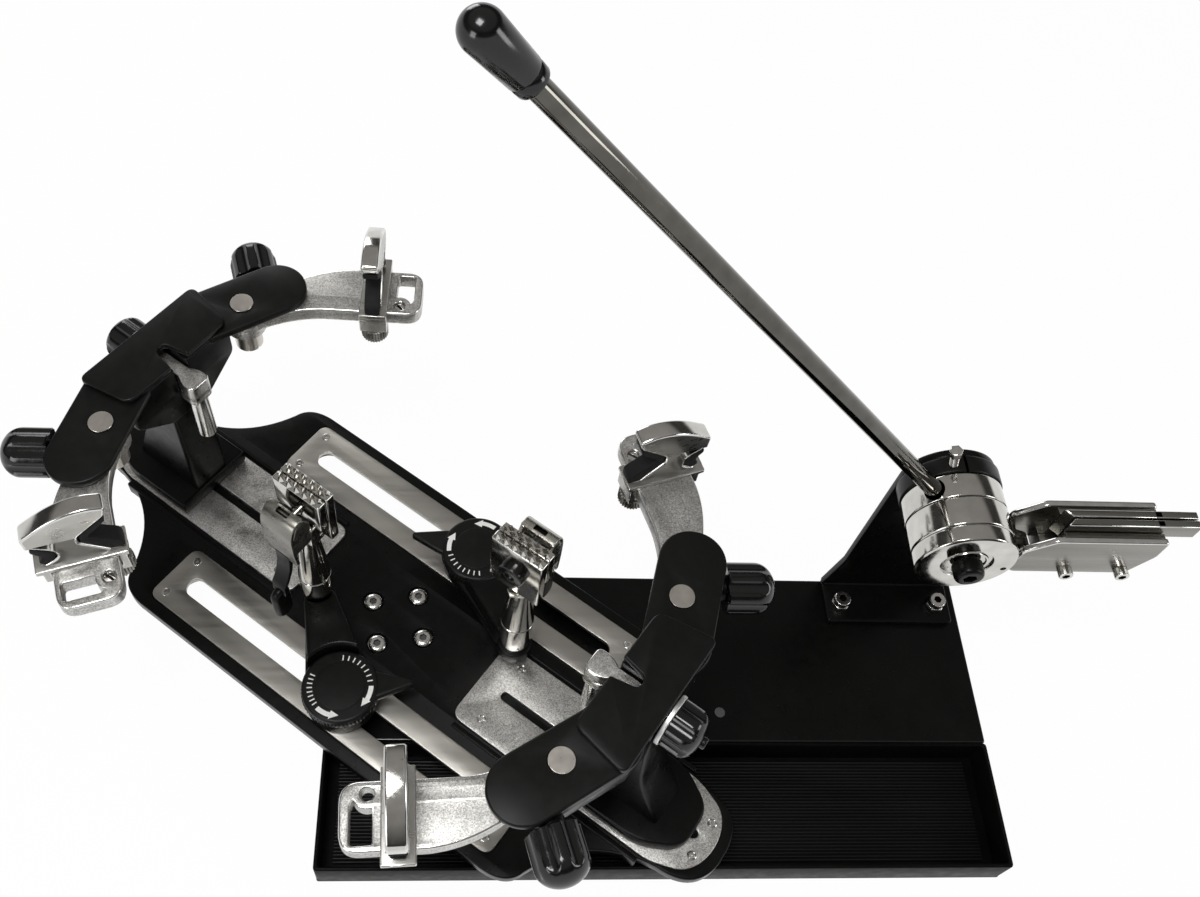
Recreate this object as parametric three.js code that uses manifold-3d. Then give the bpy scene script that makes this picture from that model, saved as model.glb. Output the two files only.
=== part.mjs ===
// Table-top racket stringing machine, drop-weight type, in millimetres with +Z up.
// The origin is on the table, under the vertical axis that the turntable spins about.
// X runs along the base towards the tension head, Y runs from the front to the back.

import * as THREE from 'three';
import { mergeVertices } from 'three/addons/utils/BufferGeometryUtils.js';
import Module from 'manifold-3d';

const wasm = await Module();
wasm.setup();

// Clearance between neighbouring pieces, and the number of facets on round pieces
const fit = 0.3;
const fine = 16;
const coarse = 10;
const small = 6;
const arcSteps = 3;
const hexagon = 6;
const bevel = 1;
const weld = 1e-4;

// Base: a sheet steel pan with a tool tray in front and a raised deck behind
const base = {
  width: 500,
  depth: 228,
  axisFromLeft: 50,
  axisFromBack: 46,
  floor: 2.5,
  sheet: 3,
  rimHeight: 31,
  deckTop: 30,
  deckDepth: 136,
  matMargin: 8,
  matBackGap: 6,
  matThickness: 2.6,
  plugRadius: 4,
  plugHead: 0.8,
  plugX: 246,
  plugY: -67,
};

// Pivot that carries the turntable
const pivot = {
  shaftRadius: 15,
  tubeRadius: 20,
  tubeBottom: 4,
  flangeRadius: 38,
  flangeThickness: 5,
  lowerFlangeTop: 26.5,
  gapAboveTube: 1.2,
  plateFlange: 7,
};

// Turntable casting, long axis along its own X
const table = {
  turnDegrees: -37,
  bottom: 33.5,
  top: 45,
  halfLength: 294,
  halfWidth: 108,
  endHalfWidth: 34,
  endCorner: 14,
  neckStart: 260,
  neckControl: [208, 43],
  shoulder: [188, 92],
  shoulderControl: [184, 107],
  flankStart: 162,
  pocketDepth: 2.5,
  screwCircle: 24.6,
  screwRecess: 8.4,
  screwRecessDepth: 3.4,
  screwHeadRadius: 6.8,
  screwHeadHeight: 4.2,
  screwRadius: 4,
  screwSocket: 2.6,
  screwSocketDepth: 2,
  screwCrownShare: 0.7,
  ribOffset: 39.5,
  ribWidth: 4,
  ribHeight: 1.6,
  ribStart: 84,
  ribEnd: 246,
};

// Slotted rails for the string clamps
const rail = {
  halfLength: 162,
  halfWidth: 24.8,
  offset: 74,
  thickness: 4,
  corner: 8,
  slotHalfLength: 137,
  slotRadius: 7.6,
  openingRadius: 12.5,
  screwAlong: 152.5,
  screwAcross: 16.3,
};

// Guide plates that the two towers slide on
const guide = {
  inner: 79,
  outer: 285.5,
  halfWidth: 35,
  taperLength: 35.5,
  endHalfWidth: 24,
  corner: 10,
  thickness: 4,
  slotRadius: 3.6,
  slotInner: 103,
  slotInset: 17.5,
  grooveRadius: 5.5,
  grooveBottom: 37,
  innerScrew: [99.2, 24.5],
  outerScrewInset: 10.1,
  outerScrewAcross: 13.8,
};

const plateScrew = { headRadius: 3.4, headRise: 0.4 };

// Towers: local X points away from the middle of the turntable
const tower = {
  rightAt: 198,
  leftAt: 207.5,
  padInner: -19.5,
  padOuter: 70,
  padHalfWidth: 33,
  padHeight: 13,
  padTaper: 28,
  padCorner: 12,
  tongueInner: 0,
  tongueOuter: 30,
  tongueHalfWidth: 3.1,
  tongueDepth: 7,
  columnInner: -17.5,
  columnOuterBase: 46,
  columnOuterKnee: 26,
  columnKnee: 112,
  columnOuterTop: 20,
  columnHalfWidth: 16,
  headBottom: 160,
  headShoulder: 182,
  headFootHalfWidth: 18,
  headHalfWidth: 46,
  headInner: -20,
  headOuter: 20,
  armPlateBottom: 206,
  armPlateTop: 212,
  armRoot: [0, 38],
  armTip: [-22, 92],
  armHalfWidth: 22.3,
  cheekThickness: 5,
  cheekBottom: 190,
  channelHalfWidth: 5.9,
  channelBottom: 188.6,
};

const cover = {
  thickness: 5,
  inner: -20.3,
  outer: 20.7,
  innerHalf: 46,
  outerHalf: 53,
  corner: 7,
  mouth: 7.6,
  slotEnd: 2,
  slotEndHalf: 4,
};

const armPin = {
  at: [-14, 66],
  radius: 8.3,
  proud: 0.8,
  nutRadius: 10,
  nutBottom: 168,
  slotWidth: 2,
  slotDepth: 1.4,
};

// Side arms, drawn in a frame that lies along the arm's straight end: first along, then across
const sideArm = {
  hookAt: [-68, 141],
  alongDegrees: -39.07,
  thickness: 12,
  hubAlong: 89,
  hubAcross: -24,
  hubRadius: 15,
  hubExtra: 6.7,
  outerBend: [52, 8],
  outerBendControl: [66, -2],
  outerShoulder: [11, 20],
  outerShoulderControl: [32, 19],
  endAlong: -38.5,
  halfWidth: 20,
  innerShoulder: [33, -20],
  innerBendControl: [60, -22],
  innerBend: [84, -38],
  endCorner: 12,
  windowAlong: -26,
  windowAcross: 6,
  windowLength: 13,
  windowWidth: 20,
  holeAlong: -22.5,
  holeAcross: -12.5,
  holeRadius: 4,
};

// How far each side arm is swung inwards about its pin, and its hook moved along it
const armPose = {
  left_far: { swing: 4.2, slide: -4 },
  left_near: { swing: 4.2, slide: -1 },
  right_far: { swing: 4.2, slide: -5 },
  right_near: { swing: -1, slide: -5 },
};

// Hooks that stand on the side arms and take the racket frame in their notches
const hook = {
  innerEnd: -27,
  outerEnd: 29,
  bladeThickness: 12.4,
  saddleWidth: 20,
  saddleHeight: 3.5,
  cheek: 5,
  cheekDrop: 10,
  lipDrop: 17,
  lipLength: 18,
  thumbRadius: 10,
  thumbHeight: 11,
  thumbAcross: -17,
  outline: [
    [-17, 4], [-1.8, 20], [-1.8, 26.5, 2], [-21.5, 43.3, 2], [-24, 51.5, 2], [-11, 55.5, 12], [9, 51.5, 14],
    [29, 37.5, 3], [28.5, 26], [25.6, 26.3, 2], [13.2, 17.5, 3], [13.2, 9, 3], [22, 3.6, 2],
  ],
  padOutline: [[-26, 3.95], [-26, 18.5, 2], [-9, 24], [-4.2, 23.2], [-2.8, 19.5], [-17.3, 4.4]],
  padInset: 1,
};

// Fluted knobs
const knob = {
  radius: 17,
  length: 33,
  domeShare: 0.42,
  rootShare: 0.86,
  skirtShare: 0.1,
  flutes: 7,
  fluteRadius: 3.2,
  screwRadius: 4,
  axisHeight: 195,
  rootAt: [3, 97],
  directionDegrees: 37.2,
  bossLength: 11,
  bossRadius: 9,
  screwReach: 14,
};

const innerSupport = {
  noseInner: -38,
  noseOuter: -22,
  noseHalfWidth: 9,
  noseCorner: 5,
  top: 205,
  noseBottom: 186,
  shankAt: -30,
  shankRadius: 7,
  shankBottom: 138,
  stemHalfWidth: 5.5,
  stemBottom: 189,
  stemOuter: 14,
  screwBore: 4.4,
  boreDepth: 30,
};

const supportKnob = {
  washerAt: 21,
  washerRadius: 17.3,
  washerThickness: 3,
  length: 22,
  radius: 16.5,
  screwInner: -12,
  endRadius: 4,
  endLength: 2.5,
};

// String clamps, each standing on an arm that swivels on a rail
const clamp = {
  left: { along: 9.3, across: -74, armDegrees: 143.2, headDegrees: 180, leverDegrees: 41 },
  right: { along: 18.9, across: 74, armDegrees: -31.6, headDegrees: 0, leverDegrees: 203 },
  nutHalf: 10.5,
  nutBottom: 35.5,
  nutTop: 42,
  neckRadius: 7.2,
  stemRadius: 5,
  stemTop: 69,
  armLength: 78,
  housingRadius: 26,
  housingTop: 63,
  armTipRadius: 12.6,
  armBottom: 52,
  armTop: 66,
  armRootRadius: 19,
  bossFrom: 30,
  bossTop: 80,
  tipFrom: 60,
  tipTo: 63.7,
  dialRadius: 28,
  dialTop: 73,
  dialRound: 3,
  dialClearance: 1,
  leverReach: 55,
  leverRootHalf: 6,
  leverTipHalf: 8.5,
  leverThickness: 6,
  postBottom: 48,
  postRadius: 10,
  spindleRadius: 7.6,
  bulgeFrom: 64,
  bulgeRootRadius: 10.6,
  bulgeRadius: 12,
  bulgeMiddle: 82,
  bulgeTo: 108,
  neckTopRadius: 7.6,
  neckTop: 158,
  ringRadius: 9,
  ringTop: 164,
  headHalfLength: 12,
  headHalfDepth: 7,
  headCorner: 3,
  headTop: 186,
  jawHalfLength: 20,
  jawMiddle: -3.8,
  jawInner: 0.3,
  jawOuter: 7.4,
  jawBottom: 168,
  jawTop: 220,
  toothRadius: 3.4,
  toothHeight: 4,
  toothPitch: 8,
  toothSides: 4,
  toothTipShare: 0.25,
  teeth: 5,
  adjusterRadius: 8,
  adjusterDepth: 5,
  adjusterHeight: 197,
  boltRadius: 3,
  pinAt: 10.2,
  pinRadius: 2,
  pinHalfLength: 12,
  barrelRadius: 5.2,
  slideJawBottom: 190,
};

const clampLever = {
  halfWidth: 17,
  cheek: 3,
  strip: 4,
  top: [13, 212.5],
  shoulder: [22, 209],
  belly: [31, 182],
  waist: [31, 152],
  tipRoot: [33, 134],
  tailHalfWidth: 6,
  gripHalfWidth: 7.5,
  gripTop: 128,
  gripBottom: 92,
  gripAt: 33,
  gripDepth: 7,
  slotHalf: 9,
  slotDepthShares: [0.2, 0.8],
  cheekBottom: 178,
  cheekInner: 7,
  cheekReach: 5,
};

// Tension head on the back right of the deck, its axle along Y
const head = {
  axisX: 385,
  axisZ: 199,
  radius: 34.2,
  frontAt: -25,
  frontThickness: 12.5,
  middleThickness: 21,
  rearThickness: 17.7,
  collarRadius: 36,
  plateThickness: 6,
  groove: 0.4,
  edge: 1,
  footLeft: 340,
  footRight: 442,
  footFront: 7,
  footThickness: 6,
  kneeHeight: 74.5,
  kneeInset: 8,
  axleRadius: 7.5,
  axleHeadRadius: 11,
  axleHeadLength: 14,
  axleSocket: 6,
  axleSocketDepth: 7,
  axleNutRadius: 12,
  axleNutLength: 8,
  bearingRadius: 18,
  bearingInner: 12.5,
  bearingDepth: 1.5,
  slitWidth: 2,
  slitDegrees: 101,
  slitDepth: 24,
  collarBoltRadius: 3,
  collarBoltHead: 5,
  collarBoltHeadLength: 6,
  collarBoltProud: 10,
  collarBoltDepth: 14,
  footBoltX: [352, 430],
  footBoltY: 22.5,
  footBoltRadius: 4,
  footBoltHead: 6.5,
  footBoltHeadHeight: 6,
  footBoltNut: 7.5,
  footBoltNutHeight: 4,
  footBoltLength: 16,
};

const rod = {
  degrees: 131.8,
  radius: 6.2,
  inner: 16,
  outer: 481,
  holeInner: 14,
  knobOverlap: 11,
  knobLength: 45,
  knobRootRadius: 9,
  knobRadius: 11,
};

// Linear gripper to the right of the drum
const grip = {
  middleY: 4.2,
  halfWidth: 16.8,
  plate: 5,
  pinX: 434,
  pinZ: 177,
  pinRadius: 4,
  lugRadius: 8,
  lugHalfWidth: 8,
  leftTop: [430, 194],
  topLeft: [449, 209],
  topRight: [528, 209],
  rightLow: [528, 190],
  bottomRight: [516, 165],
  bottomLeft: [440, 165],
  leftLow: [427, 178],
  webTop: 180,
  webLeft: 452,
  jawLeft: 457,
  jawRight: 551,
  jawBottom: 187,
  jawTop: 214,
  jawSlit: 0.7,
  jawRoot: 6.4,
  wedgeShare: 0.052,
  wedgeTop: 206,
  jawCorner: 5,
  screwX: [469, 510],
  screwZ: 171,
  screwHead: 4.5,
  screwHeadLength: 6.5,
};

// Finishes seen in the photograph
const finish = {
  blackPaint: new THREE.MeshStandardMaterial({ color: 0x121212, roughness: 0.42, metalness: 0.1 }),
  blackGloss: new THREE.MeshStandardMaterial({ color: 0x0c0c0c, roughness: 0.18, metalness: 0.0 }),
  blackRubber: new THREE.MeshStandardMaterial({ color: 0x17171a, roughness: 0.85, metalness: 0.0 }),
  satinSteel: new THREE.MeshStandardMaterial({ color: 0x9a9890, roughness: 0.38, metalness: 1.0 }),
  castSilver: new THREE.MeshStandardMaterial({ color: 0xb9b8b4, roughness: 0.46, metalness: 1.0 }),
  chrome: new THREE.MeshStandardMaterial({ color: 0xd4d4d6, roughness: 0.1, metalness: 1.0 }),
  blackSteel: new THREE.MeshStandardMaterial({ color: 0x1d1c1c, roughness: 0.35, metalness: 0.8 }),
};

// Solids: plain geometries, joined and cut as closed bodies
function toSolid(geometry) {
  const bare = geometry.clone();
  bare.deleteAttribute('normal');
  bare.deleteAttribute('uv');
  const merged = mergeVertices(bare, weld);
  const vertProperties = new Float32Array(merged.attributes.position.array);
  const triVerts = new Uint32Array(merged.index.array);
  return new wasm.Manifold(new wasm.Mesh({ numProp: 3, vertProperties, triVerts }));
}

function toGeometry(solid) {
  const mesh = solid.getMesh();
  const geometry = new THREE.BufferGeometry();
  const stride = mesh.numProp;
  const count = mesh.vertProperties.length / stride;
  const position = new Float32Array(count * 3);
  for (let i = 0; i < count; i += 1) {
    position.set(mesh.vertProperties.subarray(i * stride, i * stride + 3), i * 3);
  }
  geometry.setAttribute('position', new THREE.BufferAttribute(position, 3));
  geometry.setIndex(Array.from(mesh.triVerts));
  geometry.computeVertexNormals();
  return geometry;
}

function join(...geometries) {
  return toGeometry(geometries.map(toSolid).reduce((sum, next) => sum.add(next)));
}

function cut(geometry, ...tools) {
  return toGeometry(tools.map(toSolid).reduce((left, tool) => left.subtract(tool), toSolid(geometry)));
}

function moved(geometry, x, y, z) {
  return geometry.clone().translate(x, y, z);
}

function turned(geometry, degrees) {
  return geometry.clone().rotateZ(THREE.MathUtils.degToRad(degrees));
}

// Mirror across the plane y = 0, keeping the faces pointing out
function mirrored(geometry) {
  const flipped = mergeVertices(geometry.clone().scale(1, -1, 1), weld);
  const index = flipped.index;
  for (let i = 0; i < index.count; i += 3) {
    const first = index.getX(i);
    index.setX(i, index.getX(i + 1));
    index.setX(i + 1, first);
  }
  flipped.computeVertexNormals();
  return flipped;
}

// Box given by its low and high corners
function block(x0, x1, y0, y1, z0, z1) {
  const solid = new THREE.BoxGeometry(x1 - x0, y1 - y0, z1 - z0);
  return moved(solid, (x0 + x1) / 2, (y0 + y1) / 2, (z0 + z1) / 2);
}

// Upright cylinder or cone between two heights
function upright(radius, z0, z1, x = 0, y = 0, facets = coarse, topRadius = radius) {
  const geometry = new THREE.CylinderGeometry(topRadius, radius, z1 - z0, facets);
  return moved(geometry.rotateX(Math.PI / 2), x, y, (z0 + z1) / 2);
}

// Upright round hole whose flats clear the given radius
function bore(radius, z0, z1, x = 0, y = 0, facets = coarse) {
  return upright(radius / Math.cos(Math.PI / facets), z0, z1, x, y, facets);
}

// Cylinder along Y between two planes
function acrossY(radius, y0, y1, x, z, facets = coarse) {
  return moved(new THREE.CylinderGeometry(radius, radius, y1 - y0, facets), x, (y0 + y1) / 2, z);
}

// Cylinder along X between two planes
function alongX(radius, x0, x1, y, z, facets = coarse, endRadius = radius) {
  const geometry = new THREE.CylinderGeometry(endRadius, radius, x1 - x0, facets);
  return moved(geometry.rotateZ(-Math.PI / 2), (x0 + x1) / 2, y, z);
}

// Revolved body from pairs of radius and height, closed on the axis
function revolved(profile, facets = fine) {
  const points = profile.map(([r, z]) => new THREE.Vector2(r, z));
  return new THREE.LatheGeometry(points, facets).rotateX(Math.PI / 2);
}

function prism(shape, z0, z1, bevel = 0) {
  const options = { depth: z1 - z0 - 2 * bevel, bevelEnabled: bevel > 0, curveSegments: arcSteps };
  options.bevelThickness = bevel;
  options.bevelSize = bevel;
  options.bevelOffset = -bevel;
  options.bevelSegments = 1;
  return moved(new THREE.ExtrudeGeometry(shape, options), 0, 0, z0 + bevel);
}

// Closed outline through corner points, each corner rounded by its own radius
function outline(corners, radius) {
  const shape = new THREE.Shape();
  const count = corners.length;
  corners.forEach(([x, y, own = radius], i) => {
    const [px, py] = corners[(i + count - 1) % count];
    const [nx, ny] = corners[(i + 1) % count];
    const before = Math.hypot(px - x, py - y);
    const after = Math.hypot(nx - x, ny - y);
    const back = Math.min(own, before / 2) / before;
    const ahead = Math.min(own, after / 2) / after;
    const startX = x + (px - x) * back;
    const startY = y + (py - y) * back;
    if (i === 0) shape.moveTo(startX, startY);
    else shape.lineTo(startX, startY);
    if (own > 0) shape.quadraticCurveTo(x, y, x + (nx - x) * ahead, y + (ny - y) * ahead);
  });
  shape.closePath();
  return shape;
}

// Slot or bar with round ends between two points, each end with its own radius
function capsule([ax, ay], [bx, by], ra, rb = ra) {
  const length = Math.hypot(bx - ax, by - ay);
  const heading = Math.atan2(by - ay, bx - ax);
  const lean = Math.asin((ra - rb) / length);
  const shape = new THREE.Shape();
  const side = Math.PI / 2 - lean;
  shape.absarc(bx, by, rb, heading - side, heading + side, false);
  shape.absarc(ax, ay, ra, heading + side, heading - side + 2 * Math.PI, false);
  shape.closePath();
  return shape;
}

function rectangle(x0, x1, y0, y1, corner) {
  return outline([[x0, y0], [x1, y0], [x1, y1], [x0, y1]], corner);
}

// Outline drawn in a side view, given depth along X, centred on x = 0: first Y, then Z
function sideways(shape, depth) {
  const geometry = prism(shape, -depth / 2, depth / 2);
  return geometry.applyMatrix4(new THREE.Matrix4().set(0, 0, 1, 0, 1, 0, 0, 0, 0, 1, 0, 0, 0, 0, 0, 1));
}

// Outline drawn in a front view, given depth along Y: first X, then Z
function frontal(shape, y0, y1) {
  const geometry = prism(shape, -y1, -y0);
  return geometry.applyMatrix4(new THREE.Matrix4().set(1, 0, 0, 0, 0, 0, -1, 0, 0, 1, 0, 0, 0, 0, 0, 1));
}

function piece(parent, name, geometry, material) {
  const mesh = new THREE.Mesh(geometry, material);
  mesh.name = name;
  parent.add(mesh);
  return mesh;
}

function placed(parent, x, y, degrees) {
  const group = new THREE.Group();
  group.position.set(x, y, 0);
  group.rotation.z = THREE.MathUtils.degToRad(degrees);
  parent.add(group);
  return group;
}

const left = -base.axisFromLeft;
const right = left + base.width;
const back = base.axisFromBack;
const front = back - base.depth;
const deckFront = back - base.deckDepth;

// Base pan, deck with its cap, and tray mat
function addBase(machine) {
  const floor = block(left, right, front, back, 0, base.floor);
  const tray = block(left, right, front, deckFront - fit, 0, base.rimHeight);
  const hollow = block(
    left + base.sheet, right - base.sheet, front + base.sheet, deckFront + base.sheet,
    base.floor, 2 * base.rimHeight,
  );
  piece(machine, 'base_pan', cut(join(floor, tray), hollow), finish.blackPaint);

  const deckBottom = base.floor + fit;
  const inside = block(
    left + base.sheet, right - base.sheet, deckFront + base.sheet, back - base.sheet,
    0, base.deckTop - base.sheet,
  );
  const boltHoles = head.footBoltX.map((x) => (
    bore(head.footBoltRadius + fit, deckBottom, base.rimHeight, x, head.footBoltY)
  ));
  const plugBottom = base.deckTop - base.sheet / 2;
  const plug = upright(base.plugRadius, plugBottom, base.deckTop + base.plugHead, base.plugX, base.plugY);
  const deck = cut(
    join(block(left, right, deckFront, back, deckBottom, base.deckTop), plug),
    inside,
    bore(pivot.tubeRadius + fit, deckBottom, base.rimHeight, 0, 0, fine),
    ...boltHoles,
  );
  piece(machine, 'deck_plate', deck, finish.blackPaint);

  const margin = base.sheet + base.matMargin;
  const matBack = deckFront - base.matBackGap;
  const matShape = rectangle(left + margin, right - margin, front + margin, matBack, base.sheet);
  const matBottom = base.floor + fit;
  piece(machine, 'tray_mat', prism(matShape, matBottom, matBottom + base.matThickness), finish.blackRubber);
}

// Bearing tube under the deck, with a flange that the deck is bolted to
function addPivotHousing(machine) {
  const tubeTop = base.deckTop + pivot.gapAboveTube;
  const flangeBottom = pivot.lowerFlangeTop - pivot.flangeThickness;
  const housing = cut(
    join(
      upright(pivot.tubeRadius, pivot.tubeBottom, tubeTop, 0, 0, fine),
      upright(pivot.flangeRadius, flangeBottom, pivot.lowerFlangeTop, 0, 0, fine),
    ),
    bore(pivot.shaftRadius + fit, 0, base.rimHeight + pivot.tubeRadius, 0, 0, fine),
  );
  piece(machine, 'pivot_housing', housing, finish.blackSteel);
}

// Outline of the turntable: wide flanks, concave waists, narrow ends
function tableOutline() {
  const shape = new THREE.Shape();
  const corners = [[1, 1], [-1, 1], [-1, -1], [1, -1]];
  const end = table.halfLength;
  const side = table.endHalfWidth;
  const [cx, cy] = table.neckControl;
  const [sx, sy] = table.shoulder;
  const [kx, ky] = table.shoulderControl;
  shape.moveTo(end, 0);
  corners.forEach(([h, v], i) => {
    const outward = () => {
      shape.lineTo(h * end, v * (side - table.endCorner));
      shape.quadraticCurveTo(h * end, v * side, h * (end - table.endCorner), v * side);
      shape.lineTo(h * table.neckStart, v * (side + fit));
      shape.quadraticCurveTo(h * cx, v * cy, h * sx, v * sy);
      shape.quadraticCurveTo(h * kx, v * ky, h * table.flankStart, v * table.halfWidth);
    };
    const inward = () => {
      shape.lineTo(h * table.flankStart, v * table.halfWidth);
      shape.quadraticCurveTo(h * kx, v * ky, h * sx, v * sy);
      shape.quadraticCurveTo(h * cx, v * cy, h * table.neckStart, v * (side + fit));
      shape.lineTo(h * (end - table.endCorner), v * side);
      shape.quadraticCurveTo(h * end, v * side, h * end, v * (side - table.endCorner));
    };
    if (i % 2 === 0) outward();
    else inward();
  });
  shape.closePath();
  return shape;
}

function guideOutline(grow) {
  const corners = [
    [guide.inner - grow, -guide.halfWidth - grow],
    [guide.outer - guide.taperLength, -guide.halfWidth - grow],
    [guide.outer + grow, -guide.endHalfWidth - grow],
    [guide.outer + grow, guide.endHalfWidth + grow],
    [guide.outer - guide.taperLength, guide.halfWidth + grow],
    [guide.inner - grow, guide.halfWidth + grow],
  ];
  return outline(corners, guide.corner);
}

function railOutline(grow) {
  const x = rail.halfLength + grow;
  const y = rail.halfWidth + grow;
  return rectangle(-x, x, -y, y, rail.corner);
}

const plateTop = table.top - table.pocketDepth + rail.thickness + fit;

// Centres of the four large screws, on the long and the short axis of the turntable
const hubScrews = [0, 1, 2, 3].map((i) => [
  table.screwCircle * Math.cos(i * Math.PI / 2),
  table.screwCircle * Math.sin(i * Math.PI / 2),
]);

const railScrews = [1, -1].flatMap((h) => [1, -1].map((v) => [h * rail.screwAlong, v * rail.screwAcross]));

const guideScrews = [
  guide.innerScrew,
  [guide.outer - guide.outerScrewInset, guide.outerScrewAcross],
].flatMap(([x, y]) => [[x, y], [x, -y]]);

// Screw head of a rail or guide plate, standing just above the plate
function plateFixing(x, y) {
  const headTop = plateTop + plateScrew.headRise;
  return upright(plateScrew.headRadius, plateTop - rail.thickness / 2, headTop, x, y, small);
}

function addTurntable(machine) {
  const turntable = placed(machine, 0, 0, table.turnDegrees);
  const pocketFloor = table.top - table.pocketDepth;
  const through = 2 * table.top;
  const railPocket = prism(railOutline(fit), pocketFloor, through);
  const slotEnd = rail.slotHalfLength;
  const opening = prism(capsule([-slotEnd, 0], [slotEnd, 0], rail.openingRadius), 0, through);
  const guidePocket = prism(guideOutline(fit), pocketFloor, through);
  const slotEnds = [[guide.slotInner, 0], [guide.outer - guide.slotInset, 0]];
  const groove = prism(capsule(...slotEnds, guide.grooveRadius), guide.grooveBottom, through);
  const recessFloor = table.top - table.screwRecessDepth;
  const tools = [];
  [1, -1].forEach((side) => {
    tools.push(moved(railPocket, 0, side * rail.offset, 0));
    tools.push(moved(opening, 0, side * rail.offset, 0));
    tools.push(turned(guidePocket, side > 0 ? 0 : 180));
    tools.push(turned(groove, side > 0 ? 0 : 180));
  });
  hubScrews.forEach(([x, y]) => {
    tools.push(upright(table.screwRecess, recessFloor, through, x, y));
    tools.push(bore(table.screwRadius + fit, 0, through, x, y, small));
  });
  tools.push(bore(pivot.flangeRadius + fit, 0, table.bottom + pivot.plateFlange / 2 + fit, 0, 0, fine));
  const ribs = [1, -1].flatMap((h) => [1, -1].map((v) => block(
    Math.min(h * table.ribStart, h * table.ribEnd), Math.max(h * table.ribStart, h * table.ribEnd),
    v * table.ribOffset - table.ribWidth / 2, v * table.ribOffset + table.ribWidth / 2,
    table.bottom + fit, table.top + table.ribHeight,
  )));
  const casting = cut(join(prism(tableOutline(), table.bottom, table.top), ...ribs), ...tools);
  piece(turntable, 'turntable_plate', casting, finish.blackPaint);

  const spindleFlangeTop = table.bottom + pivot.plateFlange / 2;
  const spindleFlangeBottom = base.deckTop + pivot.gapAboveTube + fit;
  const seat = recessFloor + fit;
  const headTop = seat + table.screwHeadHeight;
  const crownRadius = table.screwHeadRadius * table.screwCrownShare;
  const screws = hubScrews.map(([x, y]) => cut(
    join(
      upright(table.screwHeadRadius, seat, headTop, x, y, coarse, crownRadius),
      upright(table.screwRadius, spindleFlangeBottom + fit, seat + table.screwHeadHeight / 2, x, y, small),
    ),
    upright(table.screwSocket, headTop - table.screwSocketDepth, through, x, y, hexagon),
  ));
  const spindle = join(
    upright(pivot.flangeRadius, spindleFlangeBottom, spindleFlangeTop, 0, 0, fine),
    upright(pivot.shaftRadius, pivot.tubeBottom, spindleFlangeTop, 0, 0, fine),
    ...screws,
  );
  piece(turntable, 'pivot_spindle', spindle, finish.satinSteel);

  const railBottom = pocketFloor + fit;
  const slot = prism(capsule([-slotEnd, 0], [slotEnd, 0], rail.slotRadius), 0, through);
  const railFixings = railScrews.map(([x, y]) => plateFixing(x, y));
  const railPlate = join(cut(prism(railOutline(0), railBottom, plateTop), slot), ...railFixings);
  piece(turntable, 'clamp_rail_far', moved(railPlate, 0, rail.offset, 0), finish.satinSteel);
  piece(turntable, 'clamp_rail_near', moved(railPlate, 0, -rail.offset, 0), finish.satinSteel);

  const guideSlot = prism(capsule(...slotEnds, guide.slotRadius), 0, through);
  const guideFixings = guideScrews.map(([x, y]) => plateFixing(x, y));
  const guidePlate = join(cut(prism(guideOutline(0), railBottom, plateTop), guideSlot), ...guideFixings);
  piece(turntable, 'guide_plate_right', guidePlate, finish.castSilver);
  piece(turntable, 'guide_plate_left', turned(guidePlate, 180), finish.castSilver);
  return turntable;
}

const padBottom = plateTop + plateScrew.headRise + fit;
const padTop = padBottom + tower.padHeight;

// Outline of one arm plate of a tower, and the axis of the knob beside it
const knobHeading = THREE.MathUtils.degToRad(knob.directionDegrees);

function alongKnob(geometry, distance) {
  const x = knob.rootAt[0] + distance * Math.cos(knobHeading);
  const y = knob.rootAt[1] + distance * Math.sin(knobHeading);
  return moved(turned(geometry, knob.directionDegrees), x, y, 0);
}

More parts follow.
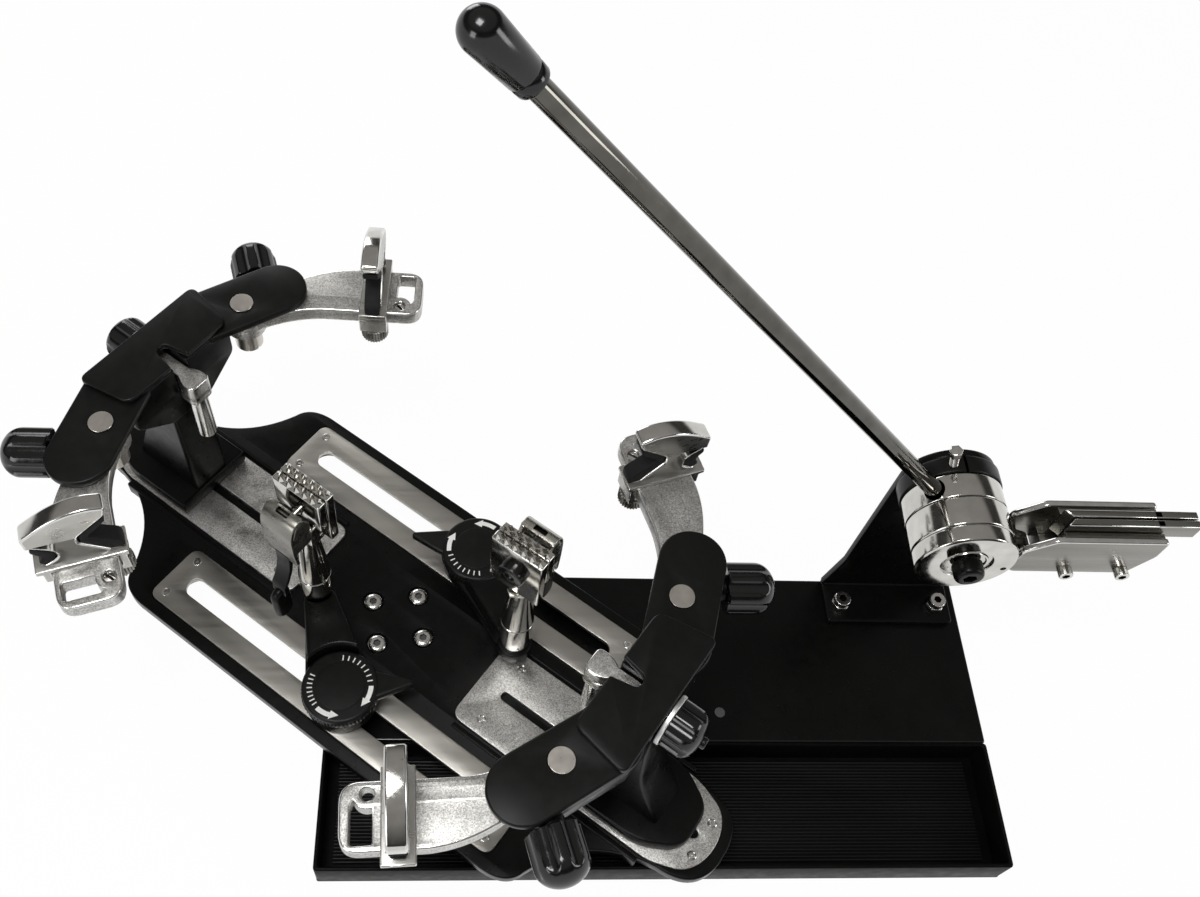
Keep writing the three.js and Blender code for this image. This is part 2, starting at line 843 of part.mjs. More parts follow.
// Tower casting: pad, column, head and the two arm plates
function towerCasting() {
  const padCorners = [
    [tower.padInner, -tower.padHalfWidth, 0],
    [tower.padOuter - tower.padTaper, -tower.padHalfWidth],
    [tower.padOuter, -tower.padHalfWidth / 2],
    [tower.padOuter, tower.padHalfWidth / 2],
    [tower.padOuter - tower.padTaper, tower.padHalfWidth],
    [tower.padInner, tower.padHalfWidth, 0],
  ];
  const pad = prism(outline(padCorners, tower.padCorner), padBottom, padTop);
  const tongue = block(
    tower.tongueInner, tower.tongueOuter, -tower.tongueHalfWidth, tower.tongueHalfWidth,
    padBottom - tower.tongueDepth, padTop,
  );
  const lowered = padTop - tower.padHeight / 2;
  const columnSide = outline([
    [tower.columnInner, lowered],
    [tower.columnOuterBase, lowered],
    [tower.columnOuterBase, padTop],
    [tower.columnOuterKnee, tower.columnKnee],
    [tower.columnOuterTop, tower.headShoulder],
    [tower.columnInner, tower.headShoulder],
  ], 0);
  const column = frontal(columnSide, -tower.columnHalfWidth, tower.columnHalfWidth);
  const headFront = outline([
    [-tower.headFootHalfWidth, tower.headBottom],
    [tower.headFootHalfWidth, tower.headBottom],
    [tower.headHalfWidth, tower.headShoulder],
    [tower.headHalfWidth, tower.armPlateTop],
    [-tower.headHalfWidth, tower.armPlateTop],
    [-tower.headHalfWidth, tower.headShoulder],
  ], 0);
  const headBlock = moved(
    sideways(headFront, tower.headOuter - tower.headInner), (tower.headOuter + tower.headInner) / 2, 0, 0,
  );
  const armPlate = prism(
    capsule(tower.armRoot, tower.armTip, tower.armHalfWidth), tower.armPlateBottom, tower.armPlateTop,
  );
  const inset = tower.cheekThickness / 2;
  const cheekHeading = Math.atan2(tower.armTip[1] - tower.armRoot[1], tower.armTip[0] - tower.armRoot[0]);
  const edge = tower.armHalfWidth - inset;
  const edgePoint = ([x, y]) => [x + edge * Math.sin(cheekHeading), y - edge * Math.cos(cheekHeading)];
  const cheek = prism(
    capsule(edgePoint(tower.armRoot), edgePoint(tower.armTip), inset),
    tower.cheekBottom, tower.armPlateBottom + inset,
  );
  const bossTop = tower.armPlateBottom + inset;
  const boss = alongKnob(join(
    alongX(knob.bossRadius, -knob.bossLength, -fit, 0, knob.axisHeight),
    block(
      -knob.bossLength, -knob.bossLength / 2, -knob.bossRadius, knob.bossRadius,
      knob.axisHeight, bossTop,
    ),
  ), 0);
  const screwHole = alongKnob(
    alongX(knob.screwRadius + fit, -2 * knob.bossLength, knob.bossLength, 0, knob.axisHeight), 0,
  );
  const [pinX, pinY] = armPin.at;
  const pinHole = bore(armPin.radius + fit, tower.cheekBottom, 2 * tower.armPlateTop, pinX, pinY, fine);
  const oneSide = cut(join(armPlate, cheek, boss), screwHole, pinHole);
  const channel = block(
    2 * tower.headInner, 2 * tower.headOuter, -tower.channelHalfWidth, tower.channelHalfWidth,
    tower.channelBottom, 2 * tower.armPlateTop,
  );
  return cut(join(pad, tongue, column, headBlock, oneSide, mirrored(oneSide)), channel);
}

// Top plate of a tower, with the tapering slot that shows the inner support's stem
function coverPlate() {
  const corners = [
    [cover.inner, -cover.innerHalf],
    [cover.outer, -cover.outerHalf],
    [cover.outer, cover.outerHalf],
    [cover.inner, cover.innerHalf],
  ];
  const bottom = tower.armPlateTop + fit;
  const slot = outline([
    [2 * cover.inner, -cover.mouth, 0],
    [cover.inner, -cover.mouth, 0],
    [-cover.slotEnd, -cover.slotEndHalf],
    [-cover.slotEnd, cover.slotEndHalf],
    [cover.inner, cover.mouth, 0],
    [2 * cover.inner, cover.mouth, 0],
  ], cover.slotEndHalf);
  return cut(
    prism(outline(corners, cover.corner), bottom, bottom + cover.thickness),
    prism(slot, tower.armPlateBottom, 2 * tower.armPlateTop),
  );
}

const armTop = tower.armPlateBottom - fit;
const armBottom = armTop - sideArm.thickness;
const hubBottom = armBottom - sideArm.hubExtra;

// Pin that a side arm swings on, with its slotted nut below
function armPinGeometry() {
  const [x, y] = armPin.at;
  const pinTop = tower.armPlateTop + armPin.proud;
  const nutTop = hubBottom - fit;
  return cut(
    join(
      upright(armPin.radius, nutTop - fit, pinTop, x, y, fine),
      upright(armPin.nutRadius, armPin.nutBottom, nutTop, x, y, fine),
    ),
    block(
      x - 2 * armPin.nutRadius, x + 2 * armPin.nutRadius, y - armPin.slotWidth / 2, y + armPin.slotWidth / 2,
      0, armPin.nutBottom + armPin.slotDepth,
    ),
  );
}

// From the frame of an arm's straight end to the tower, first slid along the arm
function onArm(geometry, slide = 0) {
  return moved(turned(moved(geometry, slide, 0, 0), sideArm.alongDegrees), ...sideArm.hookAt, 0);
}

// Swing about the arm's pin
function aboutPin(geometry, degrees) {
  const [x, y] = armPin.at;
  return moved(turned(moved(geometry, -x, -y, 0), degrees), x, y, 0);
}

// Cast side arm: hub at the pin, curved blade, straight end with a window and a screw hole
function sideArmGeometry() {
  const shape = new THREE.Shape();
  const hub = [sideArm.hubAlong, sideArm.hubAcross];
  const end = sideArm.endAlong;
  const half = sideArm.halfWidth;
  const corner = sideArm.endCorner;
  shape.moveTo(hub[0], hub[1] + sideArm.hubRadius);
  shape.quadraticCurveTo(...sideArm.outerBendControl, ...sideArm.outerBend);
  shape.quadraticCurveTo(...sideArm.outerShoulderControl, ...sideArm.outerShoulder);
  shape.lineTo(end + corner, half);
  shape.quadraticCurveTo(end, half, end, half - corner);
  shape.lineTo(end, corner - half);
  shape.quadraticCurveTo(end, -half, end + corner, -half);
  shape.lineTo(...sideArm.innerShoulder);
  shape.quadraticCurveTo(...sideArm.innerBendControl, ...sideArm.innerBend);
  shape.lineTo(hub[0], hub[1]);
  shape.closePath();
  const windowShape = rectangle(
    sideArm.windowAlong - sideArm.windowLength / 2, sideArm.windowAlong + sideArm.windowLength / 2,
    sideArm.windowAcross - sideArm.windowWidth / 2, sideArm.windowAcross + sideArm.windowWidth / 2,
    sideArm.holeRadius / 2,
  );
  const blade = join(
    prism(shape, armBottom, armTop),
    upright(sideArm.hubRadius, hubBottom, armTop, ...hub, fine),
  );
  return cut(
    onArm(cut(
      blade,
      prism(windowShape, hubBottom, 2 * armTop),
      upright(sideArm.holeRadius, hubBottom, 2 * armTop, sideArm.holeAlong, sideArm.holeAcross),
    )),
    bore(armPin.radius + fit, 0, 2 * armTop, ...armPin.at, fine),
  );
}

// Corners of a side view, raised
function lifted(corners, height) {
  return corners.map(([y, z, ...own]) => [y, z + height, ...own]);
}

// Hook: notched blade on a saddle that grips the side arm, with a thumb screw below
function hookGeometry() {
  const seat = armTop + fit;
  const root = [
    [hook.outerEnd, hook.saddleHeight, 0],
    [hook.outerEnd, 0, 0],
    [hook.innerEnd, 0, 0],
    [hook.innerEnd, hook.saddleHeight, 0],
  ];
  const blade = sideways(outline(lifted([...hook.outline, ...root], seat), 0), hook.bladeThickness);
  const halfSaddle = hook.saddleWidth / 2;
  const outerCheek = sideArm.halfWidth + fit;
  const saddleTop = seat + hook.saddleHeight;
  const saddle = block(-halfSaddle, halfSaddle, hook.innerEnd, hook.outerEnd, seat, saddleTop);
  const cheeks = [1, -1].map((side) => block(
    -halfSaddle, halfSaddle, Math.min(side * outerCheek, side * (outerCheek + hook.cheek)),
    Math.max(side * outerCheek, side * (outerCheek + hook.cheek)), seat - hook.cheekDrop, saddleTop,
  ));
  const lipTop = armBottom - fit;
  const lipBottom = seat - hook.lipDrop;
  const lipRoot = -outerCheek - hook.cheek;
  const lip = block(-halfSaddle, halfSaddle, lipRoot, lipRoot + hook.lipLength, lipBottom, lipTop);
  const drop = block(-halfSaddle, halfSaddle, lipRoot, -outerCheek, lipBottom, saddleTop);
  const thumb = upright(
    hook.thumbRadius, lipBottom - hook.thumbHeight, lipBottom + fit, 0, hook.thumbAcross, coarse,
  );
  return join(blade, saddle, ...cheeks, lip, drop, thumb);
}

// Rubber lining of a hook's inner notch
function hookPadGeometry() {
  const shape = outline(lifted(hook.padOutline, armTop + fit), 0);
  return sideways(shape, hook.bladeThickness - 2 * hook.padInset);
}

// Fluted knob with a domed end, along X from x = 0
function flutedKnob(radius, length) {
  const cylinderPart = length * (1 - knob.domeShare);
  const dome = length - cylinderPart;
  const skirt = radius * knob.skirtShare;
  const profile = [[0, 0], [radius * knob.rootShare, 0], [radius, skirt], [radius, cylinderPart]];
  for (let i = 1; i < arcSteps; i += 1) {
    const angle = (i / arcSteps) * Math.PI / 2;
    profile.push([radius * Math.cos(angle), cylinderPart + dome * Math.sin(angle)]);
  }
  profile.push([0, length]);
  const body = revolved(profile, coarse);
  const cutters = [];
  for (let i = 0; i < knob.flutes; i += 1) {
    const angle = (i / knob.flutes) * 2 * Math.PI;
    const reach = radius + knob.fluteRadius / 3;
    const x = reach * Math.cos(angle);
    const y = reach * Math.sin(angle);
    cutters.push(upright(knob.fluteRadius, -radius, 2 * length, x, y, small));
  }
  return cut(body, ...cutters).rotateY(Math.PI / 2);
}

function armKnobGeometry() {
  const screw = alongX(knob.screwRadius, -knob.screwReach, fit, 0, 0);
  return alongKnob(moved(join(flutedKnob(knob.radius, knob.length), screw), 0, 0, knob.axisHeight), 0);
}

// Inner support: nose block, stem that rides in the tower head, round shank below
function innerSupportGeometry() {
  const nose = prism(rectangle(
    innerSupport.noseInner, innerSupport.noseOuter, -innerSupport.noseHalfWidth, innerSupport.noseHalfWidth,
    innerSupport.noseCorner,
  ), innerSupport.noseBottom, innerSupport.top);
  const stem = block(
    innerSupport.noseOuter - innerSupport.noseCorner, innerSupport.stemOuter,
    -innerSupport.stemHalfWidth, innerSupport.stemHalfWidth, innerSupport.stemBottom, innerSupport.top,
  );
  const shankTop = innerSupport.noseBottom + innerSupport.noseCorner;
  const shank = upright(innerSupport.shankRadius, innerSupport.shankBottom, shankTop, innerSupport.shankAt, 0);
  const boreEnd = innerSupport.stemOuter - innerSupport.boreDepth;
  const screwHole = alongX(innerSupport.screwBore, boreEnd, 2 * innerSupport.stemOuter, 0, knob.axisHeight);
  return cut(join(nose, stem, shank), screwHole);
}

function supportKnobGeometry() {
  const start = supportKnob.washerAt;
  const knobStart = start + supportKnob.washerThickness;
  const end = knobStart + supportKnob.length;
  const z = knob.axisHeight;
  return join(
    alongX(supportKnob.washerRadius, start, knobStart + fit, 0, z, fine),
    moved(flutedKnob(supportKnob.radius, supportKnob.length), knobStart, 0, z),
    alongX(knob.screwRadius, supportKnob.screwInner, knobStart, 0, z),
    alongX(supportKnob.endRadius, end - supportKnob.length / 2, end + supportKnob.endLength, 0, z),
  );
}

function addTower(turntable, side, at, degrees, nearSign) {
  const place = placed(turntable, at, 0, degrees);
  piece(place, `tower_${side}`, towerCasting(), finish.blackPaint);
  piece(place, `tower_cover_${side}`, coverPlate(), finish.blackPaint);
  piece(place, `inner_support_${side}`, innerSupportGeometry(), finish.castSilver);
  piece(place, `support_knob_${side}`, supportKnobGeometry(), finish.blackGloss);
  const handed = (geometry, sign) => (sign > 0 ? geometry : mirrored(geometry));
  [['far', -nearSign], ['near', nearSign]].forEach(([reach, sign]) => {
    const tag = `${side}_${reach}`;
    piece(place, `arm_pin_${tag}`, handed(armPinGeometry(), sign), finish.satinSteel);
    const pose = armPose[tag];
    const swung = (geometry) => handed(aboutPin(geometry, pose.swing), sign);
    piece(place, `side_arm_${tag}`, swung(sideArmGeometry()), finish.castSilver);
    piece(place, `hook_${tag}`, swung(onArm(hookGeometry(), pose.slide)), finish.castSilver);
    piece(place, `hook_pad_${tag}`, swung(onArm(hookPadGeometry(), pose.slide)), finish.blackRubber);
    piece(place, `arm_knob_${tag}`, handed(armKnobGeometry(), sign), finish.blackGloss);
  });
}

// Swivelling clamp arm with a housing over the rail and a collar for the post
function clampArmGeometry() {
  const bottom = plateTop + 2 * fit;
  const reach = [clamp.armLength, 0];
  const bossEnd = [clamp.armLength - clamp.armTipRadius, 0];
  const tip = upright(clamp.postRadius, clamp.tipFrom, clamp.tipTo, ...reach, fine);
  return cut(
    join(
      upright(clamp.housingRadius, bottom, clamp.housingTop, 0, 0, fine),
      prism(
        capsule([0, 0], bossEnd, clamp.armRootRadius, clamp.armTipRadius),
        clamp.armBottom, clamp.armTop - fit,
      ),
      prism(capsule([clamp.bossFrom, 0], bossEnd, clamp.armTipRadius), clamp.armBottom, clamp.bossTop),
      tip,
    ),
    bore(clamp.postRadius + 2 * fit, 0, clamp.tipFrom, ...reach, fine),
    bore(clamp.spindleRadius + fit, 0, 2 * clamp.bossTop, ...reach, fine),
    bore(clamp.bulgeRadius + fit, clamp.tipTo, 2 * clamp.bossTop, ...reach, fine),
    bore(clamp.stemRadius + fit, 0, clamp.dialTop, 0, 0),
    upright(clamp.dialRadius + clamp.dialClearance, clamp.housingTop, 2 * clamp.bossTop, 0, 0, fine),
  );
}

// Shoe in the rail: square nut below, neck in the slot, threaded stem up to the dial
function clampShoeGeometry() {
  const half = clamp.nutHalf;
  return join(
    block(-half, half, -half, half, clamp.nutBottom, clamp.nutTop),
    upright(clamp.neckRadius, clamp.nutTop - fit, plateTop + fit, 0, 0),
    upright(clamp.stemRadius, clamp.nutTop, clamp.stemTop, 0, 0, small),
  );
}

function clampDialGeometry(leverDegrees) {
  const bottom = clamp.housingTop + fit;
  const dial = revolved([
    [0, bottom],
    [clamp.dialRadius, bottom],
    [clamp.dialRadius, clamp.dialTop - clamp.dialRound],
    [clamp.dialRadius - clamp.dialRound / 3, clamp.dialTop - clamp.dialRound / 3],
    [clamp.dialRadius - clamp.dialRound, clamp.dialTop],
    [0, clamp.dialTop],
  ]);
  const clearOfArm = clamp.armTop + fit;
  const lever = prism(
    capsule([0, 0], [clamp.leverReach - clamp.leverTipHalf, 0], clamp.leverRootHalf, clamp.leverTipHalf),
    clearOfArm, clearOfArm + clamp.leverThickness, bevel,
  );
  const stemHole = bore(clamp.stemRadius + fit, 0, clamp.stemTop + fit, 0, 0);
  return cut(join(dial, turned(lever, leverDegrees)), stemHole);
}

// Row of pointed teeth along the top of a jaw
function teeth(y) {
  const first = -clamp.toothPitch * (clamp.teeth - 1) / 2;
  const bottom = clamp.jawTop - fit;
  const tip = clamp.toothRadius * clamp.toothTipShare;
  return Array.from({ length: clamp.teeth }, (_, i) => upright(
    clamp.toothRadius, bottom, bottom + clamp.toothHeight, first + i * clamp.toothPitch, y, clamp.toothSides, tip,
  ));
}

// Chrome post with its head block and the fixed jaw
function clampPostGeometry() {
  const post = revolved([
    [0, clamp.postBottom],
    [clamp.postRadius, clamp.postBottom],
    [clamp.postRadius, clamp.tipFrom - fit],
    [clamp.spindleRadius, clamp.tipFrom - fit],
    [clamp.spindleRadius, clamp.bulgeFrom],
    [clamp.bulgeRootRadius, clamp.bulgeFrom],
    [clamp.bulgeRadius, clamp.bulgeMiddle],
    [clamp.bulgeRadius, clamp.bulgeTo],
    [clamp.neckTopRadius, clamp.neckTop],
    [clamp.ringRadius, clamp.neckTop],
    [clamp.ringRadius, clamp.ringTop],
    [0, clamp.ringTop],
  ], coarse);
  const headBlock = prism(rectangle(
    -clamp.headHalfLength, clamp.headHalfLength, -clamp.headHalfDepth, clamp.headHalfDepth, clamp.headCorner,
  ), clamp.ringTop - fit, clamp.headTop, bevel);
  const jawBack = clamp.jawMiddle - clamp.jawOuter;
  const jaw = block(
    -clamp.jawHalfLength, clamp.jawHalfLength,
    jawBack, clamp.jawMiddle - clamp.jawInner, clamp.jawBottom, clamp.jawTop,
  );
  const adjusterEnd = jawBack - clamp.adjusterDepth;
  const adjuster = acrossY(clamp.adjusterRadius, adjusterEnd, jawBack + fit, 0, clamp.adjusterHeight);
  const toothLine = clamp.jawMiddle - (clamp.jawInner + clamp.jawOuter) / 2;
  const bolt = acrossY(clamp.boltRadius, jawBack, clamp.pinAt, 0, clamp.adjusterHeight, small);
  const pin = alongX(
    clamp.pinRadius, -clamp.pinHalfLength, clamp.pinHalfLength, clamp.pinAt, clamp.adjusterHeight, small,
  );
  return join(post, headBlock, jaw, adjuster, bolt, pin, ...teeth(toothLine));
}

function clampJawGeometry() {
  const jaw = block(
    -clamp.jawHalfLength, clamp.jawHalfLength,
    clamp.jawMiddle + clamp.jawInner, clamp.jawMiddle + clamp.jawOuter, clamp.slideJawBottom, clamp.jawTop,
  );
  const boltHole = acrossY(
    clamp.boltRadius + 2 * fit, -clamp.jawHalfLength, clamp.jawHalfLength, 0, clamp.adjusterHeight, small,
  );
  return join(cut(jaw, boltHole), ...teeth(clamp.jawMiddle + (clamp.jawInner + clamp.jawOuter) / 2));
}

// Flip lever: curved strip with cheeks at the pivot, a window, and a grip at the lower end
function clampLeverGeometry() {
  const strip = clampLever.strip;
  const line = [clampLever.top, clampLever.shoulder, clampLever.belly, clampLever.waist, clampLever.tipRoot];
  const inner = line.map(([y, z]) => [y - strip / 3, z - strip]).reverse();
  const shape = outline([...line, ...inner], 0);
  const waist = clampLever.waist[1];
  const wide = sideways(shape, 2 * clampLever.halfWidth);
  const sides = [1, -1].map((side) => block(
    Math.min(side * clampLever.tailHalfWidth, side * 2 * clampLever.halfWidth),
    Math.max(side * clampLever.tailHalfWidth, side * 2 * clampLever.halfWidth),
    0, 2 * clampLever.gripAt, 0, waist,
  ));
  const cheekShape = outline([
    [clampLever.top[0], clampLever.top[1] - strip / 2],
    [clampLever.cheekInner, clamp.adjusterHeight + clampLever.cheekReach],
    [clampLever.cheekInner, clampLever.cheekBottom],
    [clampLever.belly[0] - strip / 2, clampLever.cheekBottom],
    [clampLever.belly[0] - strip / 2, clampLever.belly[1]],
    [clampLever.shoulder[0], clampLever.shoulder[1] - strip / 2],
  ], 0);
  const cheekAt = clampLever.halfWidth - clampLever.cheek / 2;
  const cheeks = [1, -1].map((side) => moved(sideways(cheekShape, clampLever.cheek), side * cheekAt, 0, 0));
  const [from, to] = clampLever.slotDepthShares;
  const depth = clampLever.shoulder[0] - clampLever.top[0];
  const slot = block(
    -clampLever.slotHalf, clampLever.slotHalf,
    clampLever.top[0] + from * depth, clampLever.top[0] + to * depth,
    clampLever.belly[1], 2 * clampLever.top[1],
  );
  const pinHalf = clamp.pinHalfLength + fit;
  const barrel = cut(
    alongX(clamp.barrelRadius, -cheekAt, cheekAt, clamp.pinAt, clamp.adjusterHeight),
    alongX(clamp.pinRadius + 2 * fit, -pinHalf, pinHalf, clamp.pinAt, clamp.adjusterHeight, small),
    block(
      -clamp.boltRadius - 2 * fit, clamp.boltRadius + 2 * fit, 0, 2 * clamp.pinAt,
      clamp.slideJawBottom, clamp.jawTop,
    ),
  );
  const handle = prism(
    rectangle(
      -clampLever.gripHalfWidth, clampLever.gripHalfWidth,
      clampLever.gripAt - clampLever.gripDepth / 2, clampLever.gripAt + clampLever.gripDepth / 2, strip / 2,
    ),
    clampLever.gripBottom, clampLever.gripTop, strip / 3,
  );
  const tail = block(
    -clampLever.tailHalfWidth, clampLever.tailHalfWidth, clampLever.gripAt - strip, clampLever.gripAt,
    clampLever.gripTop - strip, clampLever.tipRoot[1],
  );
  return join(cut(join(wide, ...cheeks), slot, ...sides), tail, handle, barrel);
}

function addClamp(turntable, side, setting) {
  const place = placed(turntable, setting.along, setting.across, 0);
  const arm = placed(place, 0, 0, setting.armDegrees);
  const headPlace = placed(arm, clamp.armLength, 0, setting.headDegrees - setting.armDegrees);
  piece(place, `clamp_shoe_${side}`, clampShoeGeometry(), finish.satinSteel);
  piece(arm, `clamp_arm_${side}`, clampArmGeometry(), finish.blackPaint);
  piece(place, `clamp_dial_${side}`, clampDialGeometry(setting.leverDegrees), finish.blackPaint);
  piece(headPlace, `clamp_post_${side}`, clampPostGeometry(), finish.chrome);
  piece(headPlace, `clamp_jaw_${side}`, clampJawGeometry(), finish.chrome);
  piece(headPlace, `clamp_lever_${side}`, clampLeverGeometry(), finish.chrome);
}

// Planes of the tension head along Y
const middleAt = head.frontAt + head.frontThickness;
const rearAt = middleAt + head.middleThickness + fit;
const rearEnd = rearAt + head.rearThickness;
const collarAt = rearEnd + fit;
const plateAt = back - head.plateThickness;
const collarEnd = plateAt - fit;

function disc(y0, y1, radius = head.radius) {
  const edge = head.edge;
  const flat = revolved([
    [0, -y1], [radius - edge, -y1], [radius, edge - y1], [radius, -y0 - edge], [radius - edge, -y0], [0, -y0],
  ]);
  return moved(flat.rotateX(Math.PI / 2), head.axisX, 0, head.axisZ);
}

const axleBore = (head.axleRadius + fit) / Math.cos(Math.PI / coarse);
const axleHole = acrossY(axleBore, 2 * front, 2 * back, head.axisX, head.axisZ);

// Angle bracket: foot on the deck and an upright plate with a round top
function bracketGeometry() {
  const footBottom = base.deckTop + fit;
  const footTop = footBottom + head.footThickness;
  const kneeRight = head.footRight - head.kneeInset;
  const shape = new THREE.Shape();
  shape.moveTo(head.footLeft, footBottom);
  shape.lineTo(head.footRight, footBottom);
  shape.lineTo(kneeRight, head.kneeHeight);
  shape.lineTo(head.axisX + head.radius - head.edge, head.axisZ);
  shape.absarc(head.axisX, head.axisZ, head.radius - head.edge, 0, Math.PI, false);
  shape.lineTo(head.footLeft + head.kneeInset, head.kneeHeight);
  shape.closePath();
  const plate = frontal(shape, plateAt, back);
  const foot = block(head.footLeft, head.footRight, head.footFront, back, footBottom, footTop);
  return cut(join(plate, foot, ...head.footBoltX.map((x) => footBolt(x, footTop))), axleHole);
}

// Socket bolt through the foot, on a hexagon nut
function footBolt(x, footTop) {
  const y = head.footBoltY;
  const nutTop = footTop + head.footBoltNutHeight;
  return cut(
    join(
      upright(head.footBoltRadius, footTop - head.footBoltLength, nutTop, x, y),
      upright(head.footBoltNut, footTop - fit, nutTop, x, y, hexagon),
      upright(head.footBoltHead, nutTop - fit, nutTop + head.footBoltHeadHeight, x, y),
    ),
    upright(head.footBoltHead / 2, nutTop + head.footBoltHeadHeight / 2, 2 * nutTop, x, y, hexagon),
  );
}

// Slit collar on the axle, with the bolt that stands beside the slit
function collarGeometry() {
  const tip = head.collarRadius + head.collarBoltProud;
  const bolt = join(
    alongX(head.collarBoltRadius, head.collarRadius - head.collarBoltDepth, tip, 0, 0),
    alongX(head.collarBoltHead, tip - fit, tip + head.collarBoltHeadLength, 0, 0, hexagon),
  );
  const slitAt = head.collarBoltRadius + head.slitWidth;
  const slit = block(
    head.collarRadius - head.slitDepth, 2 * head.collarRadius, 2 * front, 2 * back,
    -slitAt - head.slitWidth, -slitAt,
  );
  const radians = THREE.MathUtils.degToRad(head.slitDegrees);
  const placedSlit = moved(slit.rotateY(-radians), head.axisX, 0, head.axisZ);
  const placedBolt = moved(bolt.rotateY(-radians), head.axisX, (collarAt + collarEnd) / 2, head.axisZ);
  return cut(join(disc(collarAt, collarEnd, head.collarRadius), placedBolt), axleHole, placedSlit);
}

function axleGeometry() {
  const headBack = head.frontAt - fit;
  const headFront = headBack - head.axleHeadLength;
  const nutFront = back + fit;
  return cut(
    join(
      acrossY(head.axleRadius, headBack - fit, nutFront + fit, head.axisX, head.axisZ),
      acrossY(head.axleHeadRadius, headFront, headBack, head.axisX, head.axisZ, fine),
      acrossY(
        head.axleNutRadius, nutFront, nutFront + head.axleNutLength,
        head.axisX, head.axisZ, hexagon,
      ),
    ),
    acrossY(
      head.axleSocket, 2 * headFront, headFront + head.axleSocketDepth,
      head.axisX, head.axisZ, hexagon,
    ),
  );
}

// Front drum: front and middle disc with the lug that carries the gripper
function frontDrumGeometry() {
  const frontDisc = disc(head.frontAt, middleAt - head.groove);
  const middleDisc = disc(middleAt, rearAt - fit);
  const bridge = acrossY(
    head.radius - 2 * head.edge, head.frontAt + head.edge, rearAt - head.edge,
    head.axisX, head.axisZ, fine,
  );
  const lugY0 = grip.middleY - grip.lugHalfWidth;
  const lugY1 = rearAt - fit;
  const reach = [grip.pinX, grip.pinZ];
  const lug = frontal(capsule([head.axisX, head.axisZ], reach, grip.lugRadius), lugY0, lugY1);
  const bearing = cut(
    acrossY(
      head.bearingRadius, 2 * head.frontAt, head.frontAt + head.bearingDepth,
      head.axisX, head.axisZ, fine,
    ),
    acrossY(head.bearingInner, 2 * front, head.axleHeadLength, head.axisX, head.axisZ),
  );
  return cut(
    join(frontDisc, middleDisc, bridge, lug),
    axleHole,
    bearing,
    acrossY(grip.pinRadius + fit, 2 * front, 2 * back, ...reach),
  );
}

// Cylinder in the rod's direction from the drum's axis
function onRod(geometry) {
  const radians = THREE.MathUtils.degToRad(rod.degrees);
  return moved(geometry.rotateY(-radians), head.axisX, (rearAt + rearEnd) / 2, head.axisZ);
}

function rearDrumGeometry() {
  const hole = onRod(alongX(rod.radius + fit, rod.holeInner, 2 * head.radius, 0, 0));
  return cut(disc(rearAt, rearEnd), axleHole, hole);
}

function rodKnobGeometry() {
  const start = rod.outer - rod.knobOverlap;
  const domeFrom = start + rod.knobLength - rod.knobRadius;
  const profile = [[0, start], [rod.knobRootRadius, start], [rod.knobRadius, domeFrom]];
  for (let i = 1; i < arcSteps; i += 1) {
    const angle = (i / arcSteps) * Math.PI / 2;
    profile.push([rod.knobRadius * Math.cos(angle), domeFrom + rod.knobRadius * Math.sin(angle)]);
  }
  profile.push([0, domeFrom + rod.knobRadius]);
  const body = revolved(profile, coarse).rotateY(Math.PI / 2);
  return onRod(cut(body, alongX(rod.radius + fit, 0, rod.outer + fit, 0, 0)));
}

const gripFront = grip.middleY - grip.halfWidth;
const gripBack = grip.middleY + grip.halfWidth;

// Gripper body: two cheek plates, the web between them and the wedges the jaws slide on
function gripperBodyGeometry() {
  const side = outline([
    grip.leftTop, grip.topLeft, grip.topRight, grip.rightLow, grip.bottomRight, grip.bottomLeft, grip.leftLow,
  ], grip.jawCorner / 2);
  const web = block(
    grip.webLeft, grip.bottomRight[0], gripFront, gripBack, grip.bottomLeft[1], grip.webTop,
  );
  const pin = acrossY(grip.pinRadius, gripFront, gripBack, grip.pinX, grip.pinZ);
  const screws = grip.screwX.map((x) => cut(
    acrossY(grip.screwHead, gripFront - grip.screwHeadLength, gripFront + fit, x, grip.screwZ),
    acrossY(
      grip.screwHead / 2, gripFront - 2 * grip.screwHeadLength, gripFront - grip.screwHeadLength / 2,
      x, grip.screwZ, hexagon,
    ),
  ));
  const wedges = [-1, 1].map((sign) => {
    const outer = grip.middleY + sign * (grip.halfWidth - grip.plate / 2);
    const near = (x) => grip.middleY + sign * (grip.jawRoot + fit + (x - grip.jawLeft) * grip.wedgeShare);
    const shape = outline([
      [grip.jawLeft, outer],
      [grip.topRight[0], outer],
      [grip.topRight[0], near(grip.topRight[0])],
      [grip.jawLeft, near(grip.jawLeft)],
    ], 0);
    return prism(shape, grip.webTop - fit, grip.wedgeTop);
  });
  const plates = [
    frontal(side, gripFront, gripFront + grip.plate),
    frontal(side, gripBack - grip.plate, gripBack),
  ];
  return join(...plates, web, pin, ...wedges, ...screws);
}

// Jaw with a straight gripping face and a slanted back
function gripperJawGeometry(sign) {
  const inner = grip.middleY + sign * grip.jawSlit;
  const outerAt = (x) => grip.middleY + sign * (grip.jawRoot + (x - grip.jawLeft) * grip.wedgeShare);
  const shape = outline([
    [grip.jawLeft + grip.jawCorner, inner],
    [grip.jawRight, inner],
    [grip.jawRight, outerAt(grip.jawRight)],
    [grip.jawLeft, outerAt(grip.jawLeft)],
    [grip.jawLeft, inner + sign * grip.jawCorner],
  ], 0);
  return prism(shape, grip.jawBottom, grip.jawTop);
}

